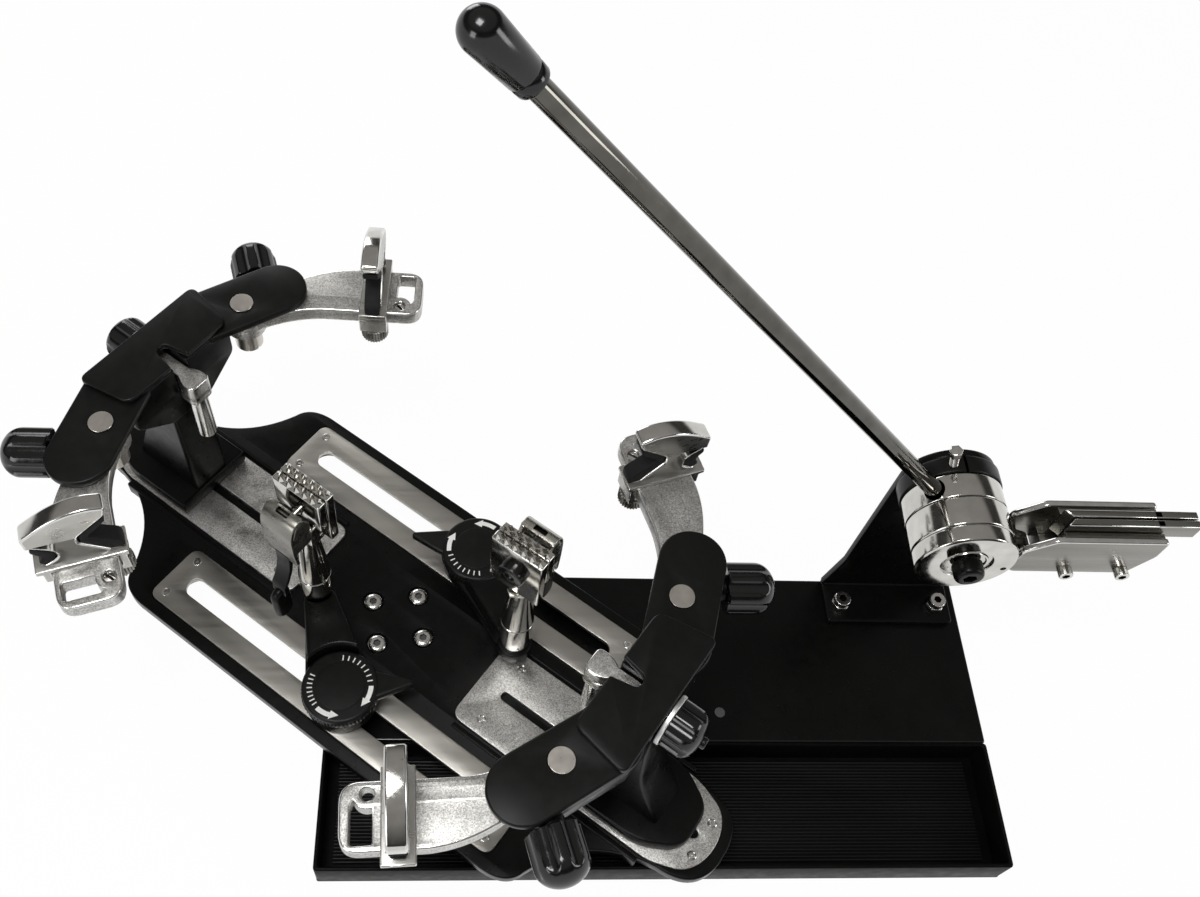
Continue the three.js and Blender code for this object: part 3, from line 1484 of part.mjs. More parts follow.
function addTensionHead(machine) {
  piece(machine, 'head_bracket', bracketGeometry(), finish.blackPaint);
  piece(machine, 'drum_axle', axleGeometry(), finish.blackSteel);
  piece(machine, 'drum_collar', collarGeometry(), finish.blackPaint);
  piece(machine, 'rear_drum', rearDrumGeometry(), finish.chrome);
  piece(machine, 'front_drum', frontDrumGeometry(), finish.chrome);
  piece(machine, 'tension_rod', onRod(alongX(rod.radius, rod.inner, rod.outer, 0, 0)), finish.chrome);
  piece(machine, 'rod_knob', rodKnobGeometry(), finish.blackGloss);
  piece(machine, 'gripper_body', gripperBodyGeometry(), finish.castSilver);
  piece(machine, 'gripper_jaw_front', gripperJawGeometry(-1), finish.castSilver);
  piece(machine, 'gripper_jaw_rear', gripperJawGeometry(1), finish.castSilver);
}

const machine = new THREE.Group();
addBase(machine);
addPivotHousing(machine);
const turntable = addTurntable(machine);
addTower(turntable, 'right', tower.rightAt, 0, -1);
addTower(turntable, 'left', -tower.leftAt, 180, 1);
addClamp(turntable, 'left', clamp.left);
addClamp(turntable, 'right', clamp.right);
addTensionHead(machine);

export default machine;
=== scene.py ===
"""Racket stringing machine: the finished look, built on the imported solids."""

import logging
import math
from dataclasses import dataclass, field
from enum import Enum
from typing import Sequence

import bpy
import numpy as np
from mathutils import Matrix, Vector
from mathutils.geometry import tessellate_polygon

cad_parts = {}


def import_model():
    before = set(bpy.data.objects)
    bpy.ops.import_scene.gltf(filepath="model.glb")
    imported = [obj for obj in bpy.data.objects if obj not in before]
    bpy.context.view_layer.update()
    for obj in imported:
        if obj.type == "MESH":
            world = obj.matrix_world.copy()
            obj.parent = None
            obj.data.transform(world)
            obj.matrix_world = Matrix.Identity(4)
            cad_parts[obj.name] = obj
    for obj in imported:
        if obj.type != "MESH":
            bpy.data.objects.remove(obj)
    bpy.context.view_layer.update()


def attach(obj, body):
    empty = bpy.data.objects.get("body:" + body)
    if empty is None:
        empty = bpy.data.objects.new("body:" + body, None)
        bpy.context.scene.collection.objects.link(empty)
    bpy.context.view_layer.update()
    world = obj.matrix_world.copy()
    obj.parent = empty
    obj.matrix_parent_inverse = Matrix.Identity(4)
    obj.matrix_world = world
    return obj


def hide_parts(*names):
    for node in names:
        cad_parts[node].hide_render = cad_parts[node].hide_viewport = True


logging.basicConfig(level=logging.INFO, format="%(message)s")
log = logging.getLogger("stringing_machine")

MM = 0.001
GAP = 0.3


# Surfaces


@dataclass
class Surface:
    """A mesh as numpy arrays, in millimetres.

    Attributes:
        points: one row of x, y, z for each vertex.
        faces: tuples of vertex numbers, wound to face outwards.
        slots: the finish number of each face.
    """

    points: np.ndarray
    faces: list[tuple[int, ...]]
    slots: list[int] = field(default_factory=list)

    def __post_init__(self) -> None:
        """Gives every face the first finish where none is stated."""
        if not self.slots:
            self.slots = [0] * len(self.faces)

    def moved(self, x: float = 0.0, y: float = 0.0, z: float = 0.0) -> "Surface":
        """Returns the surface shifted by x, y, z."""
        return Surface(self.points + np.array([x, y, z]), self.faces, self.slots)

    def through(self, matrix: np.ndarray) -> "Surface":
        """Carries the surface through a 4 by 4 matrix.

        Args:
            matrix: the affine transform, acting on column vectors.

        Returns:
            The carried surface, its faces turned back outwards if the matrix mirrors.
        """
        points = self.points @ matrix[:3, :3].T + matrix[:3, 3]
        faces = self.faces
        if np.linalg.det(matrix[:3, :3]) < 0:
            faces = [tuple(reversed(face)) for face in faces]
        return Surface(points, faces, self.slots)

    def dressed(self, slot: int) -> "Surface":
        """Returns the surface with every face in finish number slot."""
        return Surface(self.points, self.faces, [slot] * len(self.faces))

    def raised(self, by: int) -> "Surface":
        """Returns the surface with every finish number raised, so that sockets keep their own."""
        return Surface(self.points, self.faces, [slot + by for slot in self.slots])

    def polar(self) -> tuple[np.ndarray, np.ndarray]:
        """Returns each vertex's distance from the Z axis and its heading in radians."""
        x, y = self.points[:, 0], self.points[:, 1]
        return np.hypot(x, y), np.arctan2(y, x)

    def waved(self, factor: np.ndarray) -> "Surface":
        """Returns the surface with x and y of each vertex times its own factor."""
        scale = np.column_stack([factor, factor, np.ones_like(factor)])
        return Surface(self.points * scale, self.faces, self.slots)


def joined(*parts: Surface) -> Surface:
    """Puts several surfaces into one, each keeping its finishes.

    Args:
        parts: the surfaces.

    Returns:
        One surface with all their vertices and faces.
    """
    points = np.vstack([part.points for part in parts])
    faces: list[tuple[int, ...]] = []
    slots: list[int] = []
    start = 0
    for part in parts:
        faces.extend(tuple(i + start for i in face) for face in part.faces)
        slots.extend(part.slots)
        start += len(part.points)
    return Surface(points, faces, slots)


def shift(x: float = 0.0, y: float = 0.0, z: float = 0.0) -> np.ndarray:
    """Matrix that moves by x, y, z.

    Args:
        x: step along X in mm.
        y: step along Y in mm.
        z: step along Z in mm.

    Returns:
        The 4 by 4 matrix.
    """
    matrix = np.eye(4)
    matrix[:3, 3] = (x, y, z)
    return matrix


def spin(axis: str, degrees: float) -> np.ndarray:
    """Matrix that turns by degrees about the main axis "X", "Y" or "Z", by the right-hand rule."""
    return np.array(Matrix.Rotation(math.radians(degrees), 4, axis))


def flip(axis: int) -> np.ndarray:
    """Matrix that mirrors one coordinate.

    Args:
        axis: number of the coordinate, from 0.

    Returns:
        The 4 by 4 matrix.
    """
    matrix = np.eye(4)
    matrix[axis, axis] = -1.0
    return matrix


def grid(points: np.ndarray, wrap_u: bool, wrap_v: bool = False) -> Surface:
    """Quads over a grid of points.

    Args:
        points: array of shape (u, v, 3).
        wrap_u: whether the last row joins the first.
        wrap_v: whether the last column joins the first.

    Returns:
        The quad surface, facing along the cross product of u and v.
    """
    rows, columns = points.shape[:2]
    number = np.arange(rows * columns).reshape(rows, columns)
    if wrap_u:
        number = np.vstack([number, number[:1]])
    if wrap_v:
        number = np.hstack([number, number[:, :1]])
    quads = np.stack([number[:-1, :-1], number[1:, :-1], number[1:, 1:], number[:-1, 1:]], axis=-1)
    return Surface(points.reshape(-1, 3), [tuple(q) for q in quads.reshape(-1, 4).tolist()])


def lathe(profile: Sequence[Sequence[float]], segments: int = 64) -> Surface:
    """Turned piece about Z: each profile point (r, z) becomes the ring (r cos a, r sin a, z).

    A profile that starts or ends on the axis is closed there with one pole.

    Args:
        profile: radius and height pairs, from the bottom round the outside to the top.
        segments: points in a ring.

    Returns:
        The closed surface, facing outwards.
    """
    line = np.asarray(profile, dtype=float)
    poles = [abs(line[0, 0]) < 1e-6, abs(line[-1, 0]) < 1e-6]
    rings = line[int(poles[0]): len(line) - int(poles[1])]
    angle = np.linspace(0.0, 2.0 * np.pi, segments, endpoint=False)[:, None]
    points = np.stack(
        [
            rings[:, 0] * np.cos(angle), rings[:, 0] * np.sin(angle),
            np.broadcast_to(rings[:, 1], (segments, len(rings)))
        ],
        axis=-1,
    )
    closed = not poles[0] and not poles[1]
    surface = grid(points, True, closed)
    count = len(rings)
    extra = list(surface.points)
    faces = surface.faces
    if poles[0]:
        extra.append(np.array([0.0, 0.0, line[0, 1]]))
        pole = len(extra) - 1
        faces = faces + [(pole, ((i + 1) % segments) * count, i * count) for i in range(segments)]
    if poles[1]:
        extra.append(np.array([0.0, 0.0, line[-1, 1]]))
        pole = len(extra) - 1
        faces = faces + [
            (pole, i * count + count - 1, ((i + 1) % segments) * count + count - 1) for i in range(segments)
        ]
    return Surface(np.array(extra), faces)


def eased(profile: Sequence[Sequence[float]], steps: int = 4) -> list[tuple[float, float]]:
    """Rounds the corners of a line: near a corner with radius r it follows the parabola between both legs.

    Args:
        profile: points (a, b) or (a, b, corner radius).
        steps: points on each rounded corner.

    Returns:
        The denser line, with its first and last point kept.
    """
    result: list[tuple[float, float]] = []
    last = len(profile) - 1
    for i, corner in enumerate(profile):
        here = np.array(corner[:2], dtype=float)
        radius = corner[2] if len(corner) > 2 else 0.0
        if i in (0, last) or radius <= 0.0:
            result.append((float(here[0]), float(here[1])))
            continue
        before = np.array(profile[i - 1][:2], dtype=float)
        after = np.array(profile[i + 1][:2], dtype=float)
        start = here + (before - here) * min(radius / np.linalg.norm(before - here), 0.5)
        end = here + (after - here) * min(radius / np.linalg.norm(after - here), 0.5)
        t = np.linspace(0.0, 1.0, steps + 1)[:, None]
        curve = (1 - t) ** 2 * start + 2 * t * (1 - t) * here + t**2 * end
        result.extend((float(a), float(b)) for a, b in curve)
    return result


def turned(profile: Sequence[Sequence[float]], segments: int, steps: int = 4) -> Surface:
    """Turned piece about Z from a profile (r, z, corner radius) whose corners are rounded."""
    return lathe(eased(profile, steps), segments)


def loop(corners: Sequence[Sequence[float]], radius: float = 0.0, steps: int = 6) -> np.ndarray:
    """Closed outline through corner points, each rounded by its own radius or the common one.

    Near a corner the line follows the parabola between its two legs.

    Args:
        corners: points (x, y) or (x, y, radius), counter-clockwise.
        radius: the common corner radius.
        steps: points on each rounded corner.

    Returns:
        Array of shape (n, 2).
    """
    count = len(corners)
    result: list[np.ndarray] = []
    for i, corner in enumerate(corners):
        here = np.array(corner[:2], dtype=float)
        own = corner[2] if len(corner) > 2 else radius
        before = np.array(corners[(i - 1) % count][:2], dtype=float)
        after = np.array(corners[(i + 1) % count][:2], dtype=float)
        if own <= 0.0:
            result.append(here[None, :])
            continue
        start = here + (before - here) * min(own / np.linalg.norm(before - here), 0.5)
        end = here + (after - here) * min(own / np.linalg.norm(after - here), 0.5)
        t = np.linspace(0.0, 1.0, steps + 1)[:, None]
        result.append((1 - t) ** 2 * start + 2 * t * (1 - t) * here + t**2 * end)
    return counter_clockwise(thinned(np.vstack(result)))


def thinned(points: np.ndarray, least: float = 0.02) -> np.ndarray:
    """Drops points of a closed line that lie nearer than least to the one before."""
    step = np.linalg.norm(points - np.roll(points, 1, axis=0), axis=1)
    return points[step > least]


def counter_clockwise(points: np.ndarray) -> np.ndarray:
    """Orders a closed line counter-clockwise, by the sign of its area.

    Args:
        points: the line.

    Returns:
        The line, turned round where its area was negative.
    """
    x, y = points[:, 0], points[:, 1]
    area = np.sum(x * np.roll(y, -1) - np.roll(x, -1) * y)
    return points if area > 0 else points[::-1]


def circle(radius: float, x: float = 0.0, y: float = 0.0, count: int = 32) -> np.ndarray:
    """Circle of count points about (x, y)."""
    angle = np.linspace(0.0, 2.0 * np.pi, count, endpoint=False)
    return np.stack([x + radius * np.cos(angle), y + radius * np.sin(angle)], axis=-1)


def hexagon(radius: float, x: float = 0.0, y: float = 0.0) -> np.ndarray:
    """Hexagon with corners at radius from (x, y)."""
    return circle(radius, x, y, 6)


def arc(
    radius: float, start: float, end: float, count: int, x: float = 0.0, y: float = 0.0
) -> np.ndarray:
    """Count points on a circle about (x, y), from the heading start to end in degrees."""
    angle = np.radians(np.linspace(start, end, count))
    return np.column_stack([x + radius * np.cos(angle), y + radius * np.sin(angle)])


def capsule(
    a: Sequence[float], b: Sequence[float], ra: float, rb: float | None = None, steps: int = 24
) -> np.ndarray:
    """Bar with round ends between two points: two arcs joined by their common tangents.

    Args:
        a: centre of the first end.
        b: centre of the second end.
        ra: radius of the first end.
        rb: radius of the second end, the same by default.
        steps: points on each arc.

    Returns:
        The closed line, counter-clockwise.
    """
    rb = ra if rb is None else rb
    length = math.hypot(b[0] - a[0], b[1] - a[1])
    heading = math.atan2(b[1] - a[1], b[0] - a[0])
    side = math.pi / 2 - math.asin((ra - rb) / length)
    first = np.linspace(heading - side, heading + side, steps)
    second = np.linspace(heading + side, heading - side + 2 * math.pi, steps)
    end = np.stack([b[0] + rb * np.cos(first), b[1] + rb * np.sin(first)], axis=-1)
    start = np.stack([a[0] + ra * np.cos(second), a[1] + ra * np.sin(second)], axis=-1)
    return counter_clockwise(thinned(np.vstack([end, start])))


def rectangle(x0: float, x1: float, y0: float, y1: float, corner: float = 0.0) -> np.ndarray:
    """Rectangle with rounded corners."""
    return loop([(x0, y0), (x1, y0), (x1, y1), (x0, y1)], corner)


def inset(points: np.ndarray, amount: float) -> np.ndarray:
    """Moves each point of a counter-clockwise line inwards, along the mean normal of its two edges.

    Args:
        points: closed line.
        amount: distance between the old and new edges, negative to grow.

    Returns:
        The moved line, point for point.
    """
    ahead = np.roll(points, -1, axis=0) - points
    ahead /= np.linalg.norm(ahead, axis=1)[:, None]
    normal = np.stack([-ahead[:, 1], ahead[:, 0]], axis=-1)
    before = np.roll(normal, 1, axis=0)
    mitre = (normal + before) / np.maximum(1.0 + np.sum(normal * before, axis=1), 0.35)[:, None]
    return points + amount * mitre


def plate(
    outer: np.ndarray,
    z0: float,
    z1: float,
    holes: Sequence[np.ndarray] = (),
    edge: float = 0.5,
    steps: int = 3,
    hole_edge: float | None = None,
    low_edge: float | None = None,
    dress: tuple[int, int, int] = (0, 0, 0),
) -> Surface:
    """Flat piece with holes and rounded edges.

    The side of each line is a profile carried along it: a quarter circle of the edge radius below,
    the straight wall, and a quarter circle above. The two faces are filled between the lines.

    Args:
        outer: the outline, counter-clockwise.
        z0: height of the lower face.
        z1: height of the upper face.
        holes: outlines of the holes, counter-clockwise.
        edge: radius of the rounded edges.
        steps: points on each quarter circle.
        hole_edge: edge radius in the holes, the same by default.
        low_edge: edge radius at the lower face, the same by default.
        dress: finish numbers of the two faces, the rounded edges and the walls.

    Returns:
        The closed surface.
    """
    parts: list[np.ndarray] = []
    faces: list[tuple[int, ...]] = []
    slots: list[int] = []
    bottoms: list[tuple[int, np.ndarray]] = []
    tops: list[tuple[int, np.ndarray]] = []
    start = 0
    for i, line in enumerate([outer, *holes]):
        radius = min(edge if i == 0 or hole_edge is None else hole_edge, (z1 - z0) / 2.001)
        under = radius if low_edge is None or i > 0 else low_edge
        turn = np.linspace(0.0, np.pi / 2, steps + 1)
        low = [
            (under * (1 - math.sin(a)), z0 + under * (1 - math.cos(a)))
            for a in (turn if under > 0 else turn[:1])
        ]
        high = [
            (radius * (1 - math.cos(a)), z1 - radius * (1 - math.sin(a)))
            for a in (turn if radius > 0 else turn[:1])
        ]
        sign = 1.0 if i == 0 else -1.0
        rings = [(inset(line, sign * d), z) for d, z in low + high]
        count = len(line)
        ring_points = np.stack([np.column_stack([ring, np.full(count, z)]) for ring, z in rings], axis=1)
        side = grid(ring_points, True)
        number = len(rings)
        wound = side.faces if i == 0 else [tuple(reversed(f)) for f in side.faces]
        slots.extend(([dress[1]] * (len(low) - 1) + [dress[2]] + [dress[1]] * (len(high) - 1)) * count)
        faces.extend(tuple(k + start for k in f) for f in wound)
        parts.append(side.points)
        bottoms.append((start, np.arange(count) * number))
        tops.append((start, np.arange(count) * number + number - 1))
        start += len(side.points)
    points = np.vstack(parts)
    for lines, upper in ((bottoms, False), (tops, True)):
        index = np.concatenate([first + ring for first, ring in lines])
        contour = [[Vector(points[first + k]) for k in ring] for first, ring in lines]
        for triangle in tessellate_polygon(contour):
            a, b, c = (int(index[k]) for k in triangle)
            pa, pb, pc = points[a], points[b], points[c]
            area = (pb[0] - pa[0]) * (pc[1] - pa[1]) - (pb[1] - pa[1]) * (pc[0] - pa[0])
            if abs(area) < 1e-9:
                continue
            faces.append((a, b, c) if (area > 0) == upper else (a, c, b))
            slots.append(dress[0])
    return Surface(points, faces, slots)


def sideways(flat: Surface) -> Surface:
    """Carries a plate drawn in (y, z) with depth along x into place: x, y, z become y, z, x.

    Args:
        flat: the plate.

    Returns:
        The plate in place.
    """
    matrix = np.zeros((4, 4))
    matrix[0, 2] = matrix[1, 0] = matrix[2, 1] = matrix[3, 3] = 1.0
    return flat.through(matrix)


def frontal(flat: Surface) -> Surface:
    """Carries a plate drawn in (x, z) with depth along -y into place: x, y, z become x, -z, y.

    Args:
        flat: the plate.

    Returns:
        The plate in place.
    """
    matrix = np.zeros((4, 4))
    matrix[0, 0] = matrix[2, 1] = matrix[3, 3] = 1.0
    matrix[1, 2] = -1.0
    return flat.through(matrix)


def block(x0: float, x1: float, y0: float, y1: float, z0: float, z1: float, edge: float = 0.6) -> Surface:
    """Box with rounded edges between two corners."""
    return plate(rectangle(x0, x1, y0, y1, edge * 1.5), z0, z1, edge=edge)


def along_x(turned: Surface) -> Surface:
    """Lays a piece turned about Z along X."""
    return turned.through(spin("Y", 90))


def along_y(turned: Surface) -> Surface:
    """Lays a piece turned about Z along Y, its lower end in front."""
    return turned.through(spin("X", -90))


# Cutting


def to_mesh(surface: Surface, name: str) -> bpy.types.Mesh:
    """Writes a surface into a new mesh.

    Args:
        surface: in millimetres.
        name: of the mesh.

    Returns:
        The mesh, in metres.
    """
    mesh = bpy.data.meshes.new(name)
    mesh.from_pydata((surface.points * MM).tolist(), [], surface.faces)
    mesh.polygons.foreach_set("material_index", np.array(surface.slots, dtype=np.int32))
    mesh.update()
    return mesh


def from_mesh(mesh: bpy.types.Mesh) -> Surface:
    """Reads a mesh back as a surface.

    Args:
        mesh: in metres.

    Returns:
        The surface, in millimetres.
    """
    points = np.empty(len(mesh.vertices) * 3)
    mesh.vertices.foreach_get("co", points)
    slots = np.empty(len(mesh.polygons), dtype=np.int32)
    mesh.polygons.foreach_get("material_index", slots)
    faces = [tuple(polygon.vertices) for polygon in mesh.polygons]
    return Surface(points.reshape(-1, 3) / MM, faces, slots.tolist())


def cut(body: Surface, *tools: Surface) -> Surface:
    """Cuts closed surfaces from a body, as solids.

    Args:
        body: the closed surface worked on.
        tools: the closed surfaces cut away.

    Returns:
        The closed surface left. New faces keep the tool's finish numbers.
    """
    scene = bpy.context.scene.collection
    target = bpy.data.objects.new("work", to_mesh(body, "work"))
    scene.objects.link(target)
    helpers = []
    for tool in tools:
        helper = bpy.data.objects.new("tool", to_mesh(tool, "tool"))
        scene.objects.link(helper)
        helpers.append(helper)
        step = target.modifiers.new("step", "BOOLEAN")
        step.operation = "DIFFERENCE"
        step.object = helper
        step.solver = "EXACT"
    bpy.context.view_layer.update()
    graph = bpy.context.evaluated_depsgraph_get()
    result = bpy.data.meshes.new_from_object(target.evaluated_get(graph), depsgraph=graph)
    surface = from_mesh(result)
    for item in [target, *helpers]:
        data = item.data
        bpy.data.objects.remove(item)
        bpy.data.meshes.remove(data)
    bpy.data.meshes.remove(result)
    return surface


# Finishes


@dataclass(frozen=True)
class Finish:
    """One surface finish, made of nodes that read object coordinates.

    Attributes:
        name: of the material.
        slot: name of a material slot in the record; not used.
        dark: colour in the low spots, linear.
        light: colour in the high spots, linear.
        metallic: 0 or 1.
        roughness: mean roughness.
        rough_spread: how far the roughness varies each way.
        tone_size: size of the colour patches in mm.
        grain_size: size of the bumps in mm.
        grain_depth: height of the bumps in mm.
        stretch: factors on x, y, z before the pattern is read.
        turn: degrees about Z before the pattern is read.
        specular: level of the shine on a surface that isn't metal.
        flecks: whether the grain is a bed of bright flecks.
    """

    name: str
    slot: str
    dark: tuple[float, float, float]
    light: tuple[float, float, float]
    metallic: float
    roughness: float
    rough_spread: float = 0.05
    tone_size: float = 20.0
    grain_size: float = 1.0
    grain_depth: float = 0.01
    stretch: tuple[float, float, float] = (1.0, 1.0, 1.0)
    turn: float = 0.0
    specular: float = 0.5
    flecks: bool = False

    def material(self) -> bpy.types.Material:
        """Builds the material: patches of tone, uneven roughness and a fine grain.

        Returns:
            The material.
        """
        material = bpy.data.materials.new(self.name)
        material.use_nodes = True
        nodes, links = material.node_tree.nodes, material.node_tree.links
        shader = nodes["Principled BSDF"]
        shader.inputs["Metallic"].default_value = self.metallic
        shader.inputs["Specular IOR Level"].default_value = self.specular
        place = nodes.new("ShaderNodeTexCoord")
        mapping = nodes.new("ShaderNodeMapping")
        mapping.inputs["Rotation"].default_value[2] = math.radians(self.turn)
        mapping.inputs["Scale"].default_value = self.stretch
        links.new(place.outputs["Object"], mapping.inputs["Vector"])

        def noise(size: float, detail: float) -> bpy.types.Node:
            """Adds a noise pattern.

            Args:
                size: of its features in mm.
                detail: number of finer layers.

            Returns:
                The noise node.
            """
            node = nodes.new("ShaderNodeTexNoise")
            node.inputs["Scale"].default_value = 1.0 / (size * MM)
            node.inputs["Detail"].default_value = detail
            links.new(mapping.outputs["Vector"], node.inputs["Vector"])
            return node

        def spread(source: bpy.types.NodeSocket, low: float, high: float) -> bpy.types.Node:
            """Maps the middle half of a 0 to 1 pattern to a range.

            Args:
                source: output that holds the pattern.
                low: start of the range.
                high: end of the range.

            Returns:
                The range node.
            """
            node = nodes.new("ShaderNodeMapRange")
            node.inputs["From Min"].default_value = 0.25
            node.inputs["From Max"].default_value = 0.75
            node.inputs["To Min"].default_value = low
            node.inputs["To Max"].default_value = high
            links.new(source, node.inputs["Value"])
            return node

        tone = spread(noise(self.tone_size, 3.0).outputs["Fac"], 0.0, 1.0).outputs["Result"]
        grain = noise(self.grain_size, 2.0).outputs["Fac"]
        if self.flecks:
            share = 0.6
            cells = nodes.new("ShaderNodeTexVoronoi")
            cells.inputs["Scale"].default_value = 1.0 / (self.grain_size * MM)
            links.new(mapping.outputs["Vector"], cells.inputs["Vector"])
            split = nodes.new("ShaderNodeSeparateColor")
            links.new(cells.outputs["Color"], split.inputs["Color"])
            both = nodes.new("ShaderNodeMath")
            both.operation = "MULTIPLY_ADD"
            both.inputs[1].default_value = share
            links.new(split.outputs["Red"], both.inputs[0])
            less = nodes.new("ShaderNodeMath")
            less.operation = "MULTIPLY"
            less.inputs[1].default_value = 1.0 - share
            links.new(tone, less.inputs[0])
            links.new(less.outputs[0], both.inputs[2])
            tone = both.outputs[0]
            grain = split.outputs["Green"]
        mix = nodes.new("ShaderNodeMix")
        mix.data_type = "RGBA"
        mix.inputs[6].default_value = (*self.dark, 1.0)
        mix.inputs[7].default_value = (*self.light, 1.0)
        links.new(tone, mix.inputs[0])
        links.new(mix.outputs[2], shader.inputs["Base Color"])
        rough = spread(
            noise(self.tone_size / 4, 3.0).outputs["Fac"],
            max(self.roughness - self.rough_spread, 0.02), self.roughness + self.rough_spread,
        )
        links.new(rough.outputs["Result"], shader.inputs["Roughness"])
        bump = nodes.new("ShaderNodeBump")
        bump.inputs["Strength"].default_value = 1.0
        bump.inputs["Distance"].default_value = self.grain_depth * MM
        links.new(grain, bump.inputs["Height"])
        links.new(bump.outputs["Normal"], shader.inputs["Normal"])
        return material


class Coat(Enum):
    """The finishes of this machine."""

    BLACK_PAINT = Finish(
        "black powder coat", "black_paint", (0.0022, 0.0022, 0.0021), (0.0040, 0.0040, 0.0037), 0.0, 0.3,
        rough_spread=0.05, tone_size=30.0, grain_size=1.6, grain_depth=0.012, specular=0.13,
    )
    PAN_BLACK = Finish(
        "black pan coat", "black_paint", (0.0022, 0.0022, 0.0021), (0.0042, 0.0041, 0.0038), 0.0, 0.42,
        rough_spread=0.06, tone_size=30.0, grain_size=1.2, grain_depth=0.012, specular=0.06,
    )
    MATT_BLACK = Finish(
        "matt black plate", "black_paint", (0.0028, 0.0028, 0.0026), (0.0055, 0.0054, 0.0050), 0.0, 0.36,
        rough_spread=0.05, tone_size=25.0, grain_size=0.5, grain_depth=0.01, specular=0.2,
    )
    BLACK_GLOSS = Finish(
        "moulded gloss black", "black_gloss", (0.0025, 0.0025, 0.0025), (0.005, 0.005, 0.005), 0.0, 0.16,
        rough_spread=0.05, tone_size=14.0, grain_size=3.0, grain_depth=0.006, specular=0.45,
    )
    RUBBER = Finish(
        "black rubber", "black_rubber", (0.005, 0.005, 0.0052), (0.009, 0.009, 0.0092), 0.0, 0.66,
        rough_spread=0.08, tone_size=12.0, grain_size=0.8, grain_depth=0.03, specular=0.2,
    )
    MAT = Finish(
        "ribbed mat rubber", "black_rubber", (0.0022, 0.0022, 0.0022), (0.0045, 0.0045, 0.0044), 0.0, 0.42,
        rough_spread=0.1, tone_size=40.0, grain_size=6.0, grain_depth=0.1, stretch=(0.08, 1.0, 1.0),
        specular=0.2,
    )
    RAIL_STEEL = Finish(
        "satin rail steel", "satin_steel", (0.34, 0.33, 0.305), (0.48, 0.465, 0.43), 1.0, 0.34,
        rough_spread=0.07, tone_size=18.0, grain_size=0.6, grain_depth=0.012, stretch=(0.05, 1.0, 1.0),
        turn=37.0,
    )
    PIN_STEEL = Finish(
        "satin pin steel", "satin_steel", (0.50, 0.47, 0.43), (0.66, 0.63, 0.58), 1.0, 0.3,
        rough_spread=0.03, tone_size=14.0, grain_size=0.4, grain_depth=0.004,
    )
    CAST_SILVER = Finish(
        "sparkle silver", "cast_silver", (0.17, 0.167, 0.157), (0.82, 0.81, 0.78), 1.0, 0.36,
        rough_spread=0.08, tone_size=30.0, grain_size=0.7, grain_depth=0.11, flecks=True,
    )
    POLISHED_EDGE = Finish(
        "polished aluminium edge", "cast_silver", (0.55, 0.545, 0.53), (0.74, 0.735, 0.72), 1.0, 0.16,
        rough_spread=0.06, tone_size=10.0, grain_size=1.2, grain_depth=0.01,
    )
    MILLED = Finish(
        "milled aluminium", "cast_silver", (0.38, 0.375, 0.35), (0.52, 0.51, 0.48), 1.0, 0.3,
        rough_spread=0.07, tone_size=16.0, grain_size=0.5, grain_depth=0.012, stretch=(0.06, 1.0, 1.0),
    )
    CHROME = Finish(
        "chrome plate", "chrome", (0.50, 0.49, 0.46), (0.62, 0.61, 0.575), 1.0, 0.12,
        rough_spread=0.05, tone_size=12.0, grain_size=2.5, grain_depth=0.006,
    )
    # Chrome whose colour is kept far darker than real chrome, so the rod shows a painted dark reflection.
    DARK_REFLECTION_ROD_CHROME = Finish(
        "rod chrome with painted dark reflection", "chrome", (0.085, 0.081, 0.072), (0.125, 0.12, 0.108), 1.0, 0.07,
        rough_spread=0.05, tone_size=14.0, grain_size=2.5, grain_depth=0.006,
    )
    WARM_SATIN = Finish(
        "warm satin steel", "satin_steel", (0.19, 0.185, 0.165), (0.29, 0.283, 0.258), 1.0, 0.3,
        rough_spread=0.07, tone_size=12.0, grain_size=0.5, grain_depth=0.012, stretch=(0.08, 1.0, 1.0),
    )
    LEVER_SATIN = Finish(
        "satin lever strip", "chrome", (0.42, 0.41, 0.37), (0.56, 0.545, 0.50), 1.0, 0.27,
        rough_spread=0.06, tone_size=14.0, grain_size=0.5, grain_depth=0.01,
    )
    # Black oxide steel of the pivot tube; also the dark finish put in screw sockets and on slot floors as
    # painted shade.
    BLACK_STEEL_AND_RECESS_SHADE = Finish(
        "blackened steel and recess shade", "black_steel", (0.010, 0.010, 0.010), (0.022, 0.021, 0.021), 1.0, 0.32,
        rough_spread=0.08, tone_size=6.0, grain_size=0.5, grain_depth=0.01,
    )
    NICKEL = Finish(
        "nickel screws", "satin_steel", (0.52, 0.51, 0.49), (0.70, 0.69, 0.66), 1.0, 0.2,
        rough_spread=0.08, tone_size=3.0, grain_size=0.6, grain_depth=0.008,
    )
    # The deck's grey plug; also the dark grey put in the spindle screws' sockets as painted shade.
    GREY_PLUG_AND_SOCKET_SHADE = Finish(
        "grey plug", "black_paint", (0.06, 0.06, 0.062), (0.09, 0.09, 0.092), 0.0, 0.5,
        rough_spread=0.05, tone_size=5.0, grain_size=0.8, grain_depth=0.01,
    )
    WHITE_PRINT = Finish(
        "white marks", "black_paint", (0.72, 0.72, 0.70), (0.82, 0.82, 0.80), 0.0, 0.5,
        rough_spread=0.05, tone_size=3.0, grain_size=0.5, grain_depth=0.004,
    )
    WASHER = Finish(
        "pale washer", "satin_steel", (0.72, 0.72, 0.71), (0.84, 0.84, 0.83), 1.0, 0.46,
        rough_spread=0.04, tone_size=8.0, grain_size=0.5, grain_depth=0.002,
    )


class Paintbox:
    """Makes each finish's material once and hands it out."""

    def __init__(self) -> None:
        """Starts with no material made."""
        self._made: dict[Coat, bpy.types.Material] = {}

    def material(self, coat: Coat) -> bpy.types.Material:
        """Hands out the material of a finish.

        Args:
            coat: the finish.

        Returns:
            Its material, made at the first call.
        """
        if coat not in self._made:
            self._made[coat] = coat.value.material()
        return self._made[coat]


